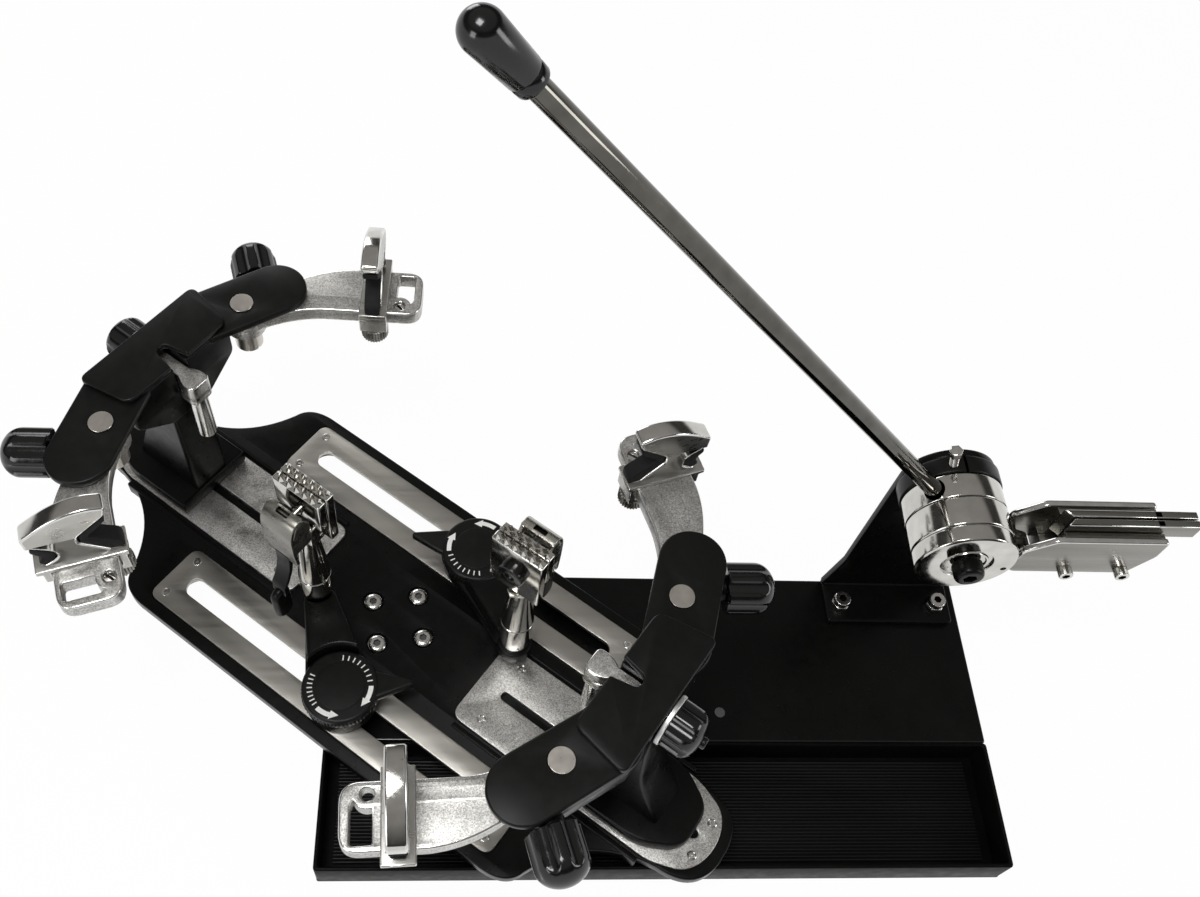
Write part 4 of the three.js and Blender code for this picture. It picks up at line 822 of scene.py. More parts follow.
@dataclass
class Assembly:
    """A sub-assembly that turns its surfaces into pieces.

    Attributes:
        paints: the shared finishes.
    """

    paints: Paintbox

    def make(
        self,
        name: str,
        surface: Surface,
        coats: Sequence[Coat],
        body: str,
        node: str,
        sharp: float = 32.0,
    ) -> bpy.types.Object:
        """Makes one piece that stands for a node and rides on its body.

        Args:
            name: of the piece.
            surface: its shape in millimetres, in place.
            coats: the finishes behind its slot numbers.
            body: the body it rides on.
            node: the node it stands for.
            sharp: edges above this angle stay sharp.

        Returns:
            The piece.
        """
        mesh = to_mesh(surface, name)
        for coat in coats:
            mesh.materials.append(self.paints.material(coat))
        mesh.polygons.foreach_set("use_smooth", np.ones(len(mesh.polygons), dtype=bool))
        mesh.set_sharp_from_angle(angle=math.radians(sharp))
        mesh.validate()
        piece = bpy.data.objects.new(name, mesh)
        bpy.context.scene.collection.objects.link(piece)
        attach(piece, body)
        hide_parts(node)
        log.info("%s: %d faces on %s", name, len(mesh.polygons), body)
        return piece

    def place(
        self, matrix: np.ndarray, pieces: Sequence[tuple[str, Surface, Sequence[Coat], str, str]]
    ) -> None:
        """Makes several pieces through one matrix, each given as name, shape, finishes, body and node."""
        for name, surface, coats, body, node in pieces:
            self.make(name, surface.through(matrix), coats, body, node)


# Screws


def hex_pocket(radius: float, z0: float, z1: float) -> Surface:
    """Hexagon prism that cuts a socket."""
    return plate(hexagon(radius), z0, z1, edge=0.0)


def button_screw(radius: float, height: float, socket: float) -> Surface:
    """Button head on z = 0: its crown is a quarter ellipse, with a hexagon socket in its top.

    Args:
        radius: of the head.
        height: of the head.
        socket: corner radius of the socket.

    Returns:
        The head, with its socket in finish 1, where a dark finish paints the shade in the socket.
    """
    angle = np.linspace(0.0, np.pi / 2, 8)
    crown = [
        (0.45 * radius + 0.55 * radius * math.cos(a), 0.25 * height + 0.75 * height * math.sin(a))
        for a in angle
    ]
    head = lathe([(0, 0), (radius, 0), *crown, (0, height)], 36)
    return cut(head, hex_pocket(socket, 0.3 * height, 2 * height).dressed(1))


def cap_screw(radius: float, height: float, socket: float, knurls: int = 0) -> Surface:
    """Cylinder head on z = 0 with an eased rim and a hexagon socket.

    Args:
        radius: of the head.
        height: of the head.
        socket: corner radius of the socket.
        knurls: grooves round the side, none by default.

    Returns:
        The head, with its socket in finish 1, where a dark finish paints the shade in the socket.
    """
    count = max(knurls * 4, 36)
    profile = eased([(0, 0), (radius, 0, 0.4), (radius, height, 0.8), (socket * 1.25, height), (0, height)])
    head = lathe(profile, count)
    if knurls:
        reach, angle = head.polar()
        head = head.waved(1.0 - 0.025 * (0.5 + 0.5 * np.cos(knurls * angle)) * (reach > 0.9 * radius))
    return cut(head, hex_pocket(socket, 0.3 * height, 2 * height).dressed(1))


def hex_nut(radius: float, height: float) -> Surface:
    """Hexagon nut on z = 0 with eased edges."""
    return plate(hexagon(radius), 0.0, height, edge=0.5)


def slotted_head(radius: float, height: float, slot: float, depth: float, degrees: float) -> Surface:
    """Round head on z = 0 with a straight driver slot between its two upper halves.

    Args:
        radius: of the head.
        height: of the head.
        slot: width of the slot.
        depth: of the slot.
        degrees: heading of the slot from X.

    Returns:
        The head, with the slot's floor in finish 1: a thin disc that takes a dark finish as painted shade in
        the slot.
    """
    floor = height - depth
    low = turned([(0, 0), (radius, 0), (radius, floor), (0, floor)], 40)
    start = math.asin(slot / (2 * radius))
    turn = np.linspace(start, math.pi - start, 20)
    half = plate(radius * np.column_stack([np.cos(turn), np.sin(turn)]), floor - 0.1, height, edge=0.3)
    # Thin disc on the slot's floor, given a dark finish: painted shade in the slot.
    shade = plate(circle(0.97 * radius, count=40), floor - 0.1, floor + 0.05, edge=0.0).dressed(1)
    return joined(low, half, half.through(spin("Z", 180)), shade).through(spin("Z", degrees))


# Base


@dataclass
class Base(Assembly):
    """Pan with a tool tray, the raised deck and the ribbed mat.

    Attributes:
        left: left end of the base.
        right: right end of the base.
        front: front edge of the tray.
        back: back edge of the deck.
        deck_front: step between tray and deck.
        floor: thickness of the pan's floor.
        sheet: thickness of its walls.
        rim: height of the tray's rim.
        deck: height of the deck.
        plug: place of the grey plug.
        rib_pitch: distance between the mat's ribs.
    """

    left: float = -50.0
    right: float = 450.0
    front: float = -182.0
    back: float = 46.0
    deck_front: float = -90.0
    floor: float = 2.5
    sheet: float = 3.0
    rim: float = 31.0
    deck: float = 30.0
    plug: tuple[float, float] = (246.0, -67.0)
    rib_pitch: float = 2.5

    def build(self) -> None:
        """Builds the three pieces."""
        floor = plate(rectangle(self.left, self.right, self.front, self.back, 2.0), 0.0, self.floor, edge=0.8)
        tray_back = self.deck_front - GAP
        wall = self.sheet
        hollow = rectangle(
            self.left + wall, self.right - wall, self.front + wall, tray_back - wall + 2 * GAP, 2.5
        )
        tray = rectangle(self.left, self.right, self.front, tray_back, 3.0)
        walls = plate(tray, GAP, self.rim, holes=[hollow], edge=1.3)
        self.make("base_pan_sheet", joined(floor, walls), [Coat.PAN_BLACK], "frame", "base_pan")

        line = rectangle(self.left, self.right, self.deck_front, self.back, 2.5)
        inner = rectangle(self.left + wall, self.right - wall, self.deck_front + wall, self.back - wall, 1.5)
        skirt = plate(line, self.floor + GAP, self.deck - wall / 2, holes=[inner], edge=0.3)
        top = plate(line, self.deck - wall, self.deck, edge=1.5, dress=(0, 2, 0))
        plug = turned([(0, -1), (4.0, -1), (4.0, 0.8, 0.6), (0, 0.8)], 32).dressed(1)
        deck = joined(skirt, top, plug.moved(*self.plug, self.deck))
        self.make(
            "deck_sheet", deck, [Coat.BLACK_PAINT, Coat.GREY_PLUG_AND_SOCKET_SHADE, Coat.BLACK_GLOSS], "frame", "deck_plate"
        )

        self.make("tray_ribbed_mat", self.mat(), [Coat.MAT], "frame", "tray_mat", sharp=20.0)

    def mat(self) -> Surface:
        """Ribbed mat: its section is a strip whose top is a row of half-sine ribs, carried along X.

        Returns:
            The mat, in place on the pan's floor.
        """
        margin = self.sheet + 8.0
        y0, y1 = self.front + margin, self.deck_front - 6.0
        low, root, rise = 2.8, 4.55, 0.8
        count = int((y1 - y0) / self.rib_pitch)
        y = np.linspace(y1, y0, count * 6 + 1)
        z = root + rise * np.abs(np.sin(np.pi * (y - y0) * count / (y1 - y0)))
        line = np.vstack([[[y0, low], [y1, low]], np.column_stack([y, z])])
        return sideways(plate(counter_clockwise(line), self.left + margin, self.right - margin, edge=0.0))


# Turntable


TABLE_TURN = spin("Z", -37.0)


def bend(
    start: Sequence[float], control: Sequence[float], end: Sequence[float], steps: int = 16
) -> np.ndarray:
    """Parabola from start to end that leaves and arrives towards the control point.

    Args:
        start: first point.
        control: the point both ends head for.
        end: last point.
        steps: spans between the points of the line.

    Returns:
        Array of steps + 1 points.
    """
    t = np.linspace(0.0, 1.0, steps + 1)[:, None]
    a, b, c = (np.array(p, dtype=float) for p in (start, control, end))
    return (1 - t) ** 2 * a + 2 * t * (1 - t) * b + t**2 * c


@dataclass
class Turntable(Assembly):
    """Casting with its rails, guide plates and the spindle with four button screws.

    Attributes:
        low: underside of the casting.
        top: its upper face.
        plate_top: upper face of rails and guide plates.
        half_length: half its length.
        rail_offset: distance of each rail from the long axis.
        rail_half: half length and half width of a rail.
        rail_corner: corner radius of a rail.
        slot_half: half length of a rail's slot between its end centres.
        slot_radius: of a rail's slot.
        opening_radius: of the casting's opening below a slot.
        rib_offset: distance of the casting's ribs from the long axis.
        rib_reach: start and end of a rib along the long axis.
        bolt_circle: distance of the spindle's screws from its axis.
        recess_radius: of the casting's recess round a screw.
    """

    low: float = 33.5
    top: float = 45.0
    plate_top: float = 46.8
    half_length: float = 294.0
    rail_offset: float = 74.0
    rail_half: tuple[float, float] = (162.0, 24.8)
    rail_corner: float = 8.0
    slot_half: float = 137.0
    slot_radius: float = 7.6
    opening_radius: float = 12.5
    rib_offset: float = 39.5
    rib_reach: tuple[float, float] = (84.0, 246.0)
    bolt_circle: float = 24.6
    recess_radius: float = 8.4

    def outline(self) -> np.ndarray:
        """Casting's outline: one quarter of lines and parabolas, mirrored to the other three.

        Returns:
            The closed line, counter-clockwise.
        """
        end, side, corner = self.half_length, 34.0, 29.0
        quarter = np.vstack([
            [[end, 0.0]],
            bend((end, side - corner), (end - 2.0, side - 3.0), (end - corner, side), 12),
            bend((260.0, side + GAP), (208.0, 43.0), (188.0, 92.0)),
            bend((188.0, 92.0), (184.0, 107.0), (162.0, 108.0)),
        ])
        other = quarter[::-1] * [-1.0, 1.0]
        half = np.vstack([quarter, other])
        whole = np.vstack([half, half[::-1] * [1.0, -1.0]])
        return counter_clockwise(thinned(whole, 0.1))

    def guide_outline(self, grow: float = 0.0) -> np.ndarray:
        """Outline of a guide plate: a strip that narrows at its outer end."""
        return loop([
            (79.0 - grow, -35.0 - grow), (252.0, -35.0 - grow), (277.0 + grow, -26.0 - grow),
            (285.5 + grow, -10.0), (285.5 + grow, 10.0), (277.0 + grow, 26.0 + grow), (252.0, 35.0 + grow),
            (79.0 - grow, 35.0 + grow),
        ], 9.0)

    def build(self) -> None:
        """Builds the casting, spindle, rails and guide plates."""
        pocket = self.top - 2.5
        shape = self.outline()
        x, y = self.rail_half
        sides = (1, -1)
        rails = [
            rectangle(
                -x - GAP, x + GAP, s * self.rail_offset - y - GAP, s * self.rail_offset + y + GAP,
                self.rail_corner,
            )
            for s in sides
        ]
        openings = [
            capsule(
                (-self.slot_half, s * self.rail_offset), (self.slot_half, s * self.rail_offset),
                self.opening_radius,
            )
            for s in sides
        ]
        guides = [self.guide_outline(GAP), counter_clockwise(self.guide_outline(GAP) * [-1.0, -1.0])]
        centres = circle(self.bolt_circle, count=4)
        recesses = [circle(self.recess_radius, *centre, count=40) for centre in centres]
        lower = plate(shape, self.low, pocket, holes=openings, edge=0.0, low_edge=2.0)
        upper = plate(
            shape, pocket, self.top, holes=[*rails, *guides, *recesses], edge=1.6, hole_edge=0.25,
            low_edge=0.0,
        )
        near, far = self.rib_reach
        ribs = [
            block(
                min(h * near, h * far), max(h * near, h * far), v * self.rib_offset - 2,
                v * self.rib_offset + 2, self.low + 1, self.top + 1.6, 0.9,
            )
            for h in sides for v in sides
        ]
        casting = joined(lower, upper, *ribs)
        self.make(
            "turntable_casting", casting.through(TABLE_TURN), [Coat.BLACK_PAINT], "turntable",
            "turntable_plate"
        )

        screw = button_screw(radius=7.6, height=4.2, socket=3.0)
        spindle = turned([(0, 4.0), (15, 4.0, 1), (15, 31.5), (38, 31.5, 1), (38, 37.0, 1), (0, 37.0)], 72)
        # Each screw's socket takes the third finish, dark grey as painted shade in it.
        screws = [screw.raised(1).moved(*centre, self.top - 3.1) for centre in centres]
        self.make(
            "spindle_and_screws", joined(spindle, *screws).through(TABLE_TURN),
            [Coat.PIN_STEEL, Coat.NICKEL, Coat.GREY_PLUG_AND_SOCKET_SHADE], "turntable", "pivot_spindle",
        )

        # Each small screw's socket takes the third finish, dark as painted shade in it.
        small = cap_screw(radius=3.4, height=2.0, socket=1.5).raised(1)
        for tag, side in (("far", 1), ("near", -1)):
            slot = capsule((-self.slot_half, 0), (self.slot_half, 0), self.slot_radius)
            line = rectangle(-x, x, -y, y, self.rail_corner)
            rail = plate(line, pocket + GAP, self.plate_top, holes=[slot], edge=0.5)
            heads = [small.moved(h * 152.5, s * 16.3, self.plate_top - 1.6) for h in sides for s in sides]
            self.make(
                f"clamp_rail_{tag}_bar",
                joined(rail, *heads).moved(y=side * self.rail_offset).through(TABLE_TURN),
                [Coat.RAIL_STEEL, Coat.NICKEL, Coat.BLACK_STEEL_AND_RECESS_SHADE], "turntable", f"clamp_rail_{tag}",
            )
        ring = lathe([
            (0, 0), (3.4, 0), (3.4, 2.0), (2.9, 2.3), (2.5, 1.95), (2.0, 2.3), (0.9, 2.35), (0.7, 1.6),
            (0, 1.6),
        ], 28)
        for tag, degrees in (("right", 0.0), ("left", 180.0)):
            slot = capsule((103.0, 0.0), (268.0, 0.0), 3.6)
            guide = plate(self.guide_outline(), pocket + GAP, self.plate_top, holes=[slot], edge=0.5)
            heads = [
                ring.dressed(1).moved(along, s * across, self.plate_top - 1.95)
                for along, across in ((99.2, 24.5), (275.4, 13.8)) for s in sides
            ]
            self.make(
                f"guide_plate_{tag}_strip",
                joined(guide, *heads).through(TABLE_TURN @ spin("Z", degrees)),
                [Coat.CAST_SILVER, Coat.NICKEL], "turntable", f"guide_plate_{tag}",
            )


# Towers


def fluted(radius: float, length: float, flutes: int = 7) -> Surface:
    """Domed knob along X from x = 0, with round flutes down its side.

    The section's radius is the smaller of the turned profile and, near a flute, the distance to the
    flute's circle: r = d cos a - sqrt(f^2 - d^2 sin^2 a), with d the distance of its centre.

    Args:
        radius: of the knob.
        length: from its foot to the top of the dome.
        flutes: number of flutes.

    Returns:
        The closed surface.
    """
    dome = 0.42 * length
    turn = np.linspace(0.0, np.pi / 2, 12)
    profile = [(0.0, 0.0), (0.8 * radius, 0.0), (0.95 * radius, 0.0), (radius, 0.8)]
    profile += [(radius, x) for x in np.linspace(0.1 * length, length - dome, 7)]
    profile += [
        (radius * math.cos(a), length - dome + dome * math.sin(a)) for a in turn[1:-1]
    ] + [(0.0, length)]
    body = lathe(profile, flutes * 20)
    reach, angle = body.polar()
    pitch = 2 * np.pi / flutes
    offset = (angle + pitch / 2) % pitch - pitch / 2
    flute, centre = 0.42 * radius, 1.28 * radius
    inside = np.maximum(flute**2 - (centre * np.sin(offset)) ** 2, 0.0)
    limit = np.where(inside > 0, centre * np.cos(offset) - np.sqrt(inside), 2 * radius)
    limited = np.minimum(reach, limit)
    return along_x(body.waved(np.where(reach > 1e-6, limited / np.maximum(reach, 1e-6), 1.0)))


def knurled(radius: float, z0: float, z1: float, teeth: int = 30, depth: float = 0.5) -> Surface:
    """Upright knurled disc with eased rims: its radius waves with the angle between two heights.

    Args:
        radius: over the teeth.
        z0: height of its lower face.
        z1: height of its upper face.
        teeth: number of teeth.
        depth: of the grooves between them.

    Returns:
        The closed surface.
    """
    profile = eased([(0, z0), (radius, z0, 1.2), (radius, (z0 + z1) / 2), (radius, z1, 1.2), (0, z1)], 3)
    disc = lathe(profile, teeth * 6)
    reach, angle = disc.polar()
    return disc.waved(1.0 - depth / radius * (0.5 - 0.5 * np.cos(teeth * angle)) * (reach > 0.9 * radius))


@dataclass(frozen=True)
class ArmPose:
    """How one side arm stands: its side's sign, swing about the pin and hook's place along it.

    Attributes:
        sign: 1 where the arm lies on the tower's own left, -1 where it is mirrored.
        swing: degrees about the pin.
        slide: distance of the hook along the arm.
        screwed: whether a slotted screw fills the small hole.
    """

    sign: int
    swing: float
    slide: float
    screwed: bool = True


@dataclass
class Tower(Assembly):
    """One tower with its inner support, two side arms, hooks and knobs.

    Attributes:
        side: right or left.
        at: place along the turntable.
        degrees: turn about the upright.
        arms: pose of the far and the near arm.
        arm_top: upper face of the side arms.
        arm_low: their lower face.
        plate_low: underside of the black arm plates.
        plate_top: their upper face.
        knob_height: height of the knobs' axes.
        knob_place: where an arm knob's axis starts.
        knob_heading: its heading in degrees.
        pin: place of the far arm's pin.
        pin_bore: radius of the holes that the pin passes.
        arm_place: start of the side arm's own axes.
        arm_heading: their turn in degrees.
    """

    side: str
    at: float
    degrees: float
    arms: dict[str, ArmPose]
    arm_top: float = 205.7
    arm_low: float = 193.7
    plate_low: float = 206.0
    plate_top: float = 212.0
    knob_height: float = 195.0
    knob_place: tuple[float, float] = (3.0, 97.0)
    knob_heading: float = 37.2
    pin: tuple[float, float] = (-14.0, 66.0)
    pin_bore: float = 8.6
    arm_place: tuple[float, float] = (-68.0, 141.0)
    arm_heading: float = -39.07

    def frame(self) -> np.ndarray:
        """Matrix from the tower's own axes to the machine's."""
        return TABLE_TURN @ shift(self.at) @ spin("Z", self.degrees)

    def build(self) -> None:
        """Builds every piece of the tower."""
        place = self.frame()
        side = self.side
        tower = f"tower_{side}"
        support, knob = f"inner_support_{side}", f"support_knob_{side}"
        self.place(place, [
            (f"{tower}_casting", self.casting(), [Coat.BLACK_PAINT, Coat.MATT_BLACK], tower, tower),
            (f"{tower}_cap", self.cap(), [Coat.MATT_BLACK], tower, f"tower_cover_{side}"),
            (
                f"{support}_body", self.inner_support(),
                [Coat.CAST_SILVER, Coat.POLISHED_EDGE, Coat.MILLED], support, support,
            ),
            (f"{knob}_grip", self.support_knob(), [Coat.BLACK_GLOSS, Coat.WASHER, Coat.NICKEL], knob, knob),
        ])
        for reach, pose in self.arms.items():
            tag = f"{side}_{reach}"
            handed = place @ (np.eye(4) if pose.sign > 0 else flip(1))
            swung = handed @ shift(*self.pin) @ spin("Z", pose.swing) @ shift(-self.pin[0], -self.pin[1])
            arm = swung @ shift(*self.arm_place) @ spin("Z", self.arm_heading)
            hook = arm @ shift(pose.slide)
            pin, blade, knob = f"arm_pin_{tag}", f"side_arm_{tag}", f"arm_knob_{tag}"
            self.place(handed, [
                (f"{pin}_bolt", self.arm_pin(), [Coat.PIN_STEEL, Coat.BLACK_STEEL_AND_RECESS_SHADE], tower, pin),
            ])
            self.place(arm, [(
                f"{blade}_blade", self.side_arm(pose.screwed),
                [Coat.CAST_SILVER, Coat.POLISHED_EDGE, Coat.MILLED, Coat.NICKEL, Coat.BLACK_STEEL_AND_RECESS_SHADE],
                blade, blade,
            )])
            self.place(hook, [
                (
                    f"hook_{tag}_blade", self.hook(),
                    [Coat.MILLED, Coat.POLISHED_EDGE, Coat.CHROME, Coat.WARM_SATIN],
                    f"hook_{tag}", f"hook_{tag}",
                ),
                (f"hook_pads_{tag}", self.hook_pads(), [Coat.RUBBER], f"hook_{tag}", f"hook_pad_{tag}"),
            ])
            self.place(handed, [
                (f"{knob}_grip", self.arm_knob(), [Coat.BLACK_GLOSS, Coat.NICKEL], knob, knob),
            ])

    def knob_seat(self) -> np.ndarray:
        """Matrix from an arm knob's own axis to its seat beside the arm plate."""
        return shift(*self.knob_place) @ spin("Z", self.knob_heading)

    def casting(self) -> Surface:
        """Pad, tongue, column, head with its channel, arm plates, cheeks and knob bosses.

        Returns:
            The casting, its arm plates in finish 1.
        """
        foot = loop([(-19.5, -33, 1), (42, -33), (70, -16.5), (70, 16.5), (42, 33), (-19.5, 33, 1)], 12.0)
        pad = plate(foot, 47.5, 60.5, edge=2.0)
        tongue = block(0, 30, -3.1, 3.1, 40.5, 60.0)
        side = loop([(-17.5, 54), (46, 54), (46, 60.5), (26, 112, 12), (20, 182), (-17.5, 182)], 1.0)
        column = frontal(plate(side, -16, 16, edge=3.0, steps=4))
        front = loop([
            (-18, 160, 3), (18, 160, 3), (46, 182, 4), (46, 211.6, 1), (5.9, 211.6, 0.6), (5.9, 188.6, 0.6),
            (-5.9, 188.6, 0.6), (-5.9, 211.6, 0.6), (-46, 211.6, 1), (-46, 182, 4),
        ])
        head = sideways(plate(front, -20, 20, edge=1.5))
        arm = plate(
            capsule((0, 38), (-22, 92), 22.3, steps=32), self.plate_low, self.plate_top,
            holes=[circle(self.pin_bore, *self.pin, count=40)], edge=1.5, hole_edge=0.3,
        ).dressed(1)
        cheek = plate(capsule((18.33, 45.48), (-3.67, 99.48), 2.5, steps=10), 190, 208, edge=0.9)
        turned_boss = lathe([(4.3, -11), (8.4, -11), (9, -10.4), (9, -0.9), (8.4, -0.3), (4.3, -0.3)], 32)
        web = block(-11, -5.5, -9, 9, self.knob_height, 208.0, 0.5)
        boss = joined(along_x(turned_boss).moved(z=self.knob_height), web).through(self.knob_seat())
        half = joined(arm, cheek, boss)
        return joined(pad, tongue, column, head, half, half.through(flip(1)))

    def cap(self) -> Surface:
        """Cover plate with its tapering slot."""
        outline = loop([
            (-20.3, -46, 7), (20.7, -53, 7), (20.7, 53, 7), (-20.3, 46, 7),
            (-20.3, 7.6, 1.2), (-2, 4, 4), (-2, -4, 4), (-20.3, -7.6, 1.2),
        ])
        return plate(outline, self.plate_top + GAP, 217.3, edge=1.3)

    def arm_pin(self) -> Surface:
        """Pin with a face of fine turned rings, and the slotted nut below.

        Returns:
            The pin at its place in the tower's axes.
        """
        x, y = self.pin
        top = 212.8
        rings = [(r, top - 0.08 * (i % 2)) for i, r in enumerate(np.linspace(7.8, 0.5, 22))]
        bolt = lathe([(0, 186.4), (8.3, 186.4), (8.3, top - 0.3), (8.1, top - 0.05), *rings, (0, top)], 48)
        # The nut's slot floor takes the second finish, dark as painted shade.
        nut = slotted_head(radius=10.0, height=18.7, slot=2.0, depth=1.4, degrees=0.0)
        nut = nut.through(flip(2)).moved(z=186.7)
        return joined(bolt, nut).moved(x, y)

    def side_arm(self, screwed: bool) -> Surface:
        """Curved cast arm: parabolas between hub and straight end, a window and a screw hole.

        Args:
            screwed: whether the hole holds its slotted screw.

        Returns:
            The arm in its own axes, which start where the hook stands without slide.
        """
        hub, reach = (89.0, -24.0), 15.0
        end, half, corner = -38.5, 20.0, 12.0
        line = np.vstack([
            arc(reach, -110, 90, 24, *hub),
            bend((89, -9), (66, -2), (52, 8)),
            bend((52, 8), (32, 19), (11, 20)),
            bend((end + corner, half), (end, half), (end, half - corner), 8),
            bend((end, corner - half), (end, -half), (end + corner, -half), 8),
            bend((33, -20), (60, -22), (84, -38))[:-1],
        ])
        line = counter_clockwise(thinned(line, 0.3))
        hole = (-22.5, -12.5)
        window = loop([*arc(8.4, 160, 70, 7, *hole), (-19.5, 16, 2.5), (-32.5, 16, 2.5), (-32.5, -6)])
        bore = self.pin_bore
        blade = plate(
            line, self.arm_low, self.arm_top,
            holes=[window, circle(4.0, *hole, count=28), circle(bore, *hub, count=40)], edge=1.2,
            hole_edge=0.7, dress=(0, 1, 0),
        )
        hub_ring = lathe([
            (bore, 187.0), (reach - 1, 187.0), (reach, 188.0), (reach, 200.0), (bore, 200.0),
        ], 48).moved(*hub)
        parts = [blade, hub_ring]
        if screwed:
            # The screw's slot floor ends in the fifth finish, dark as painted shade.
            screw = slotted_head(radius=3.8, height=9.0, slot=1.5, depth=2.2, degrees=40.0)
            parts.append(screw.raised(3).moved(*hole, self.arm_low + 1.5))
        return joined(*parts)

    def hook(self) -> Surface:
        """Notched blade on its saddle, with the knurled thumb screw below the arm.

        Returns:
            The hook in the side arm's own axes.
        """
        seat = self.plate_low
        shape = [
            (-17, 4), (-1.8, 20, 1.5), (-1.8, 26.5, 3), (-21.5, 43.3, 2), (-24, 51.5, 2.5), (-11, 55.6, 12),
            (9, 51.5, 14), (29, 37.5, 3), (28.5, 26, 1), (25.6, 26.3, 1.5), (13.2, 17.5, 7), (13.2, 9, 6),
            (22, 3.6, 2), (29, 3.4, 0.5), (29, 0.5), (-27, 0.5), (-27, 3.4, 0.5),
        ]
        blade = plate(loop(shape), -6.2, 6.2, edge=1.8, steps=5, dress=(0, 1, 2))
        saddle_line = loop([
            (29, 3.5, 1), (-27, 3.5, 1), (-27, 0, 0.6), (-25.3, -1, 0.3), (-25.3, -17, 1.5), (-7.3, -17, 1),
            (-7.3, -12.6, 1), (-20.3, -12.6, 0.6), (-20.3, 0), (20.3, 0), (20.3, -10, 0.5), (25.3, -10, 1),
            (25.3, -0.6, 0.3), (29, 0, 0.6),
        ])
        saddle = plate(saddle_line, -10, 10, edge=0.8, dress=(0, 1, 0))
        upright = sideways(joined(blade, saddle)).moved(z=seat)
        screw = knurled(10.0, seat - 28, seat - 17.3, teeth=28, depth=0.8).dressed(3)
        collar = turned([(0, seat - 18), (7, seat - 18), (7, seat - 16.6, 0.3), (0, seat - 16.6)], 32)
        return joined(upright, joined(screw, collar.dressed(3)).moved(y=-17))

    def hook_pads(self) -> Surface:
        """Rubber linings: the wedge of the inner notch and the scalloped pad of the outer one.

        Returns:
            Both pads in the side arm's own axes.
        """
        inner = loop([
            (-26, 3.9, 1.2), (-26, 10.5, 3), (-7.6, 24, 1), (-20.4, 36.6, 0.6), (-21.4, 42.4, 0.6),
            (-2.6, 26.4, 1.5), (-2.6, 19.6, 1), (-17.2, 4.2, 0.3),
        ])
        outer = loop([
            (25.6, 25.7, 1), (13.9, 17.2, 7), (13.9, 9.2, 6), (22.2, 4.1, 1), (25.2, 6.8, 2),
            (21.6, 13.2, 4), (27.2, 20.6, 2),
        ])
        pads = joined(plate(inner, -5.4, 5.4, edge=0.8), plate(outer, -5.4, 5.4, edge=0.8))
        return sideways(pads).moved(z=self.plate_low)

    def arm_knob(self) -> Surface:
        """Fluted knob and its screw, lying along the knob's axis beside the arm plate.

        Returns:
            The knob at its place in the tower's axes.
        """
        screw = along_x(lathe([(0, -14), (3.4, -14), (4, -13.4), (4, 0.3), (0, 0.3)], 24)).dressed(1)
        ferrule = along_x(turned([(0, 0.02), (8.2, 0.02), (8.2, 0.9, 0.3), (0, 0.9)], 32))
        knob = joined(fluted(17.0, 33.0), screw, ferrule)
        return knob.moved(z=self.knob_height).through(self.knob_seat())

    def inner_support(self) -> Surface:
        """Nose block that tapers into its stem, on a round shank with a bevelled end.

        Returns:
            The support at its place in the tower's axes.
        """
        top = loop([
            (-38, -9, 5), (-27.5, -9, 3), (-20.8, -5.5, 1), (14, -5.5, 0.5),
            (14, 5.5, 0.5), (-20.8, 5.5, 1), (-27.5, 9, 3), (-38, 9, 5),
        ])
        nose = plate(top, 189.2, 205.0, edge=1.3, steps=4, dress=(0, 1, 2))
        skirt = plate(rectangle(-38, -22, -9, 9, 5.0), 186.0, 195.0, edge=0.8, dress=(2, 1, 2))
        shank = turned([(0, 138), (4.8, 138), (7, 141, 0.6), (7, 189), (0, 189)], 40).moved(x=-30)
        return joined(nose, skirt, shank.dressed(1))

    def support_knob(self) -> Surface:
        """Screw, pale washer, fluted knob and the small end cap, along X.

        Returns:
            The knob at its place in the tower's axes.
        """
        screw = along_x(lathe([(0, -12), (3.4, -12), (4, -11.4), (4, 22), (0, 22)], 24)).dressed(2)
        washer = along_x(turned([(0, 21), (17.3, 21, 0.6), (17.3, 24.2, 0.6), (0, 24.2)], 56)).dressed(1)
        knob = fluted(16.5, 22.0).moved(x=24.1)
        cap = along_x(turned([(0, 36), (4, 36), (4, 48.5, 1.4), (0, 48.5)], 28))
        return joined(knob, washer, screw, cap).moved(z=self.knob_height)


# String clamps


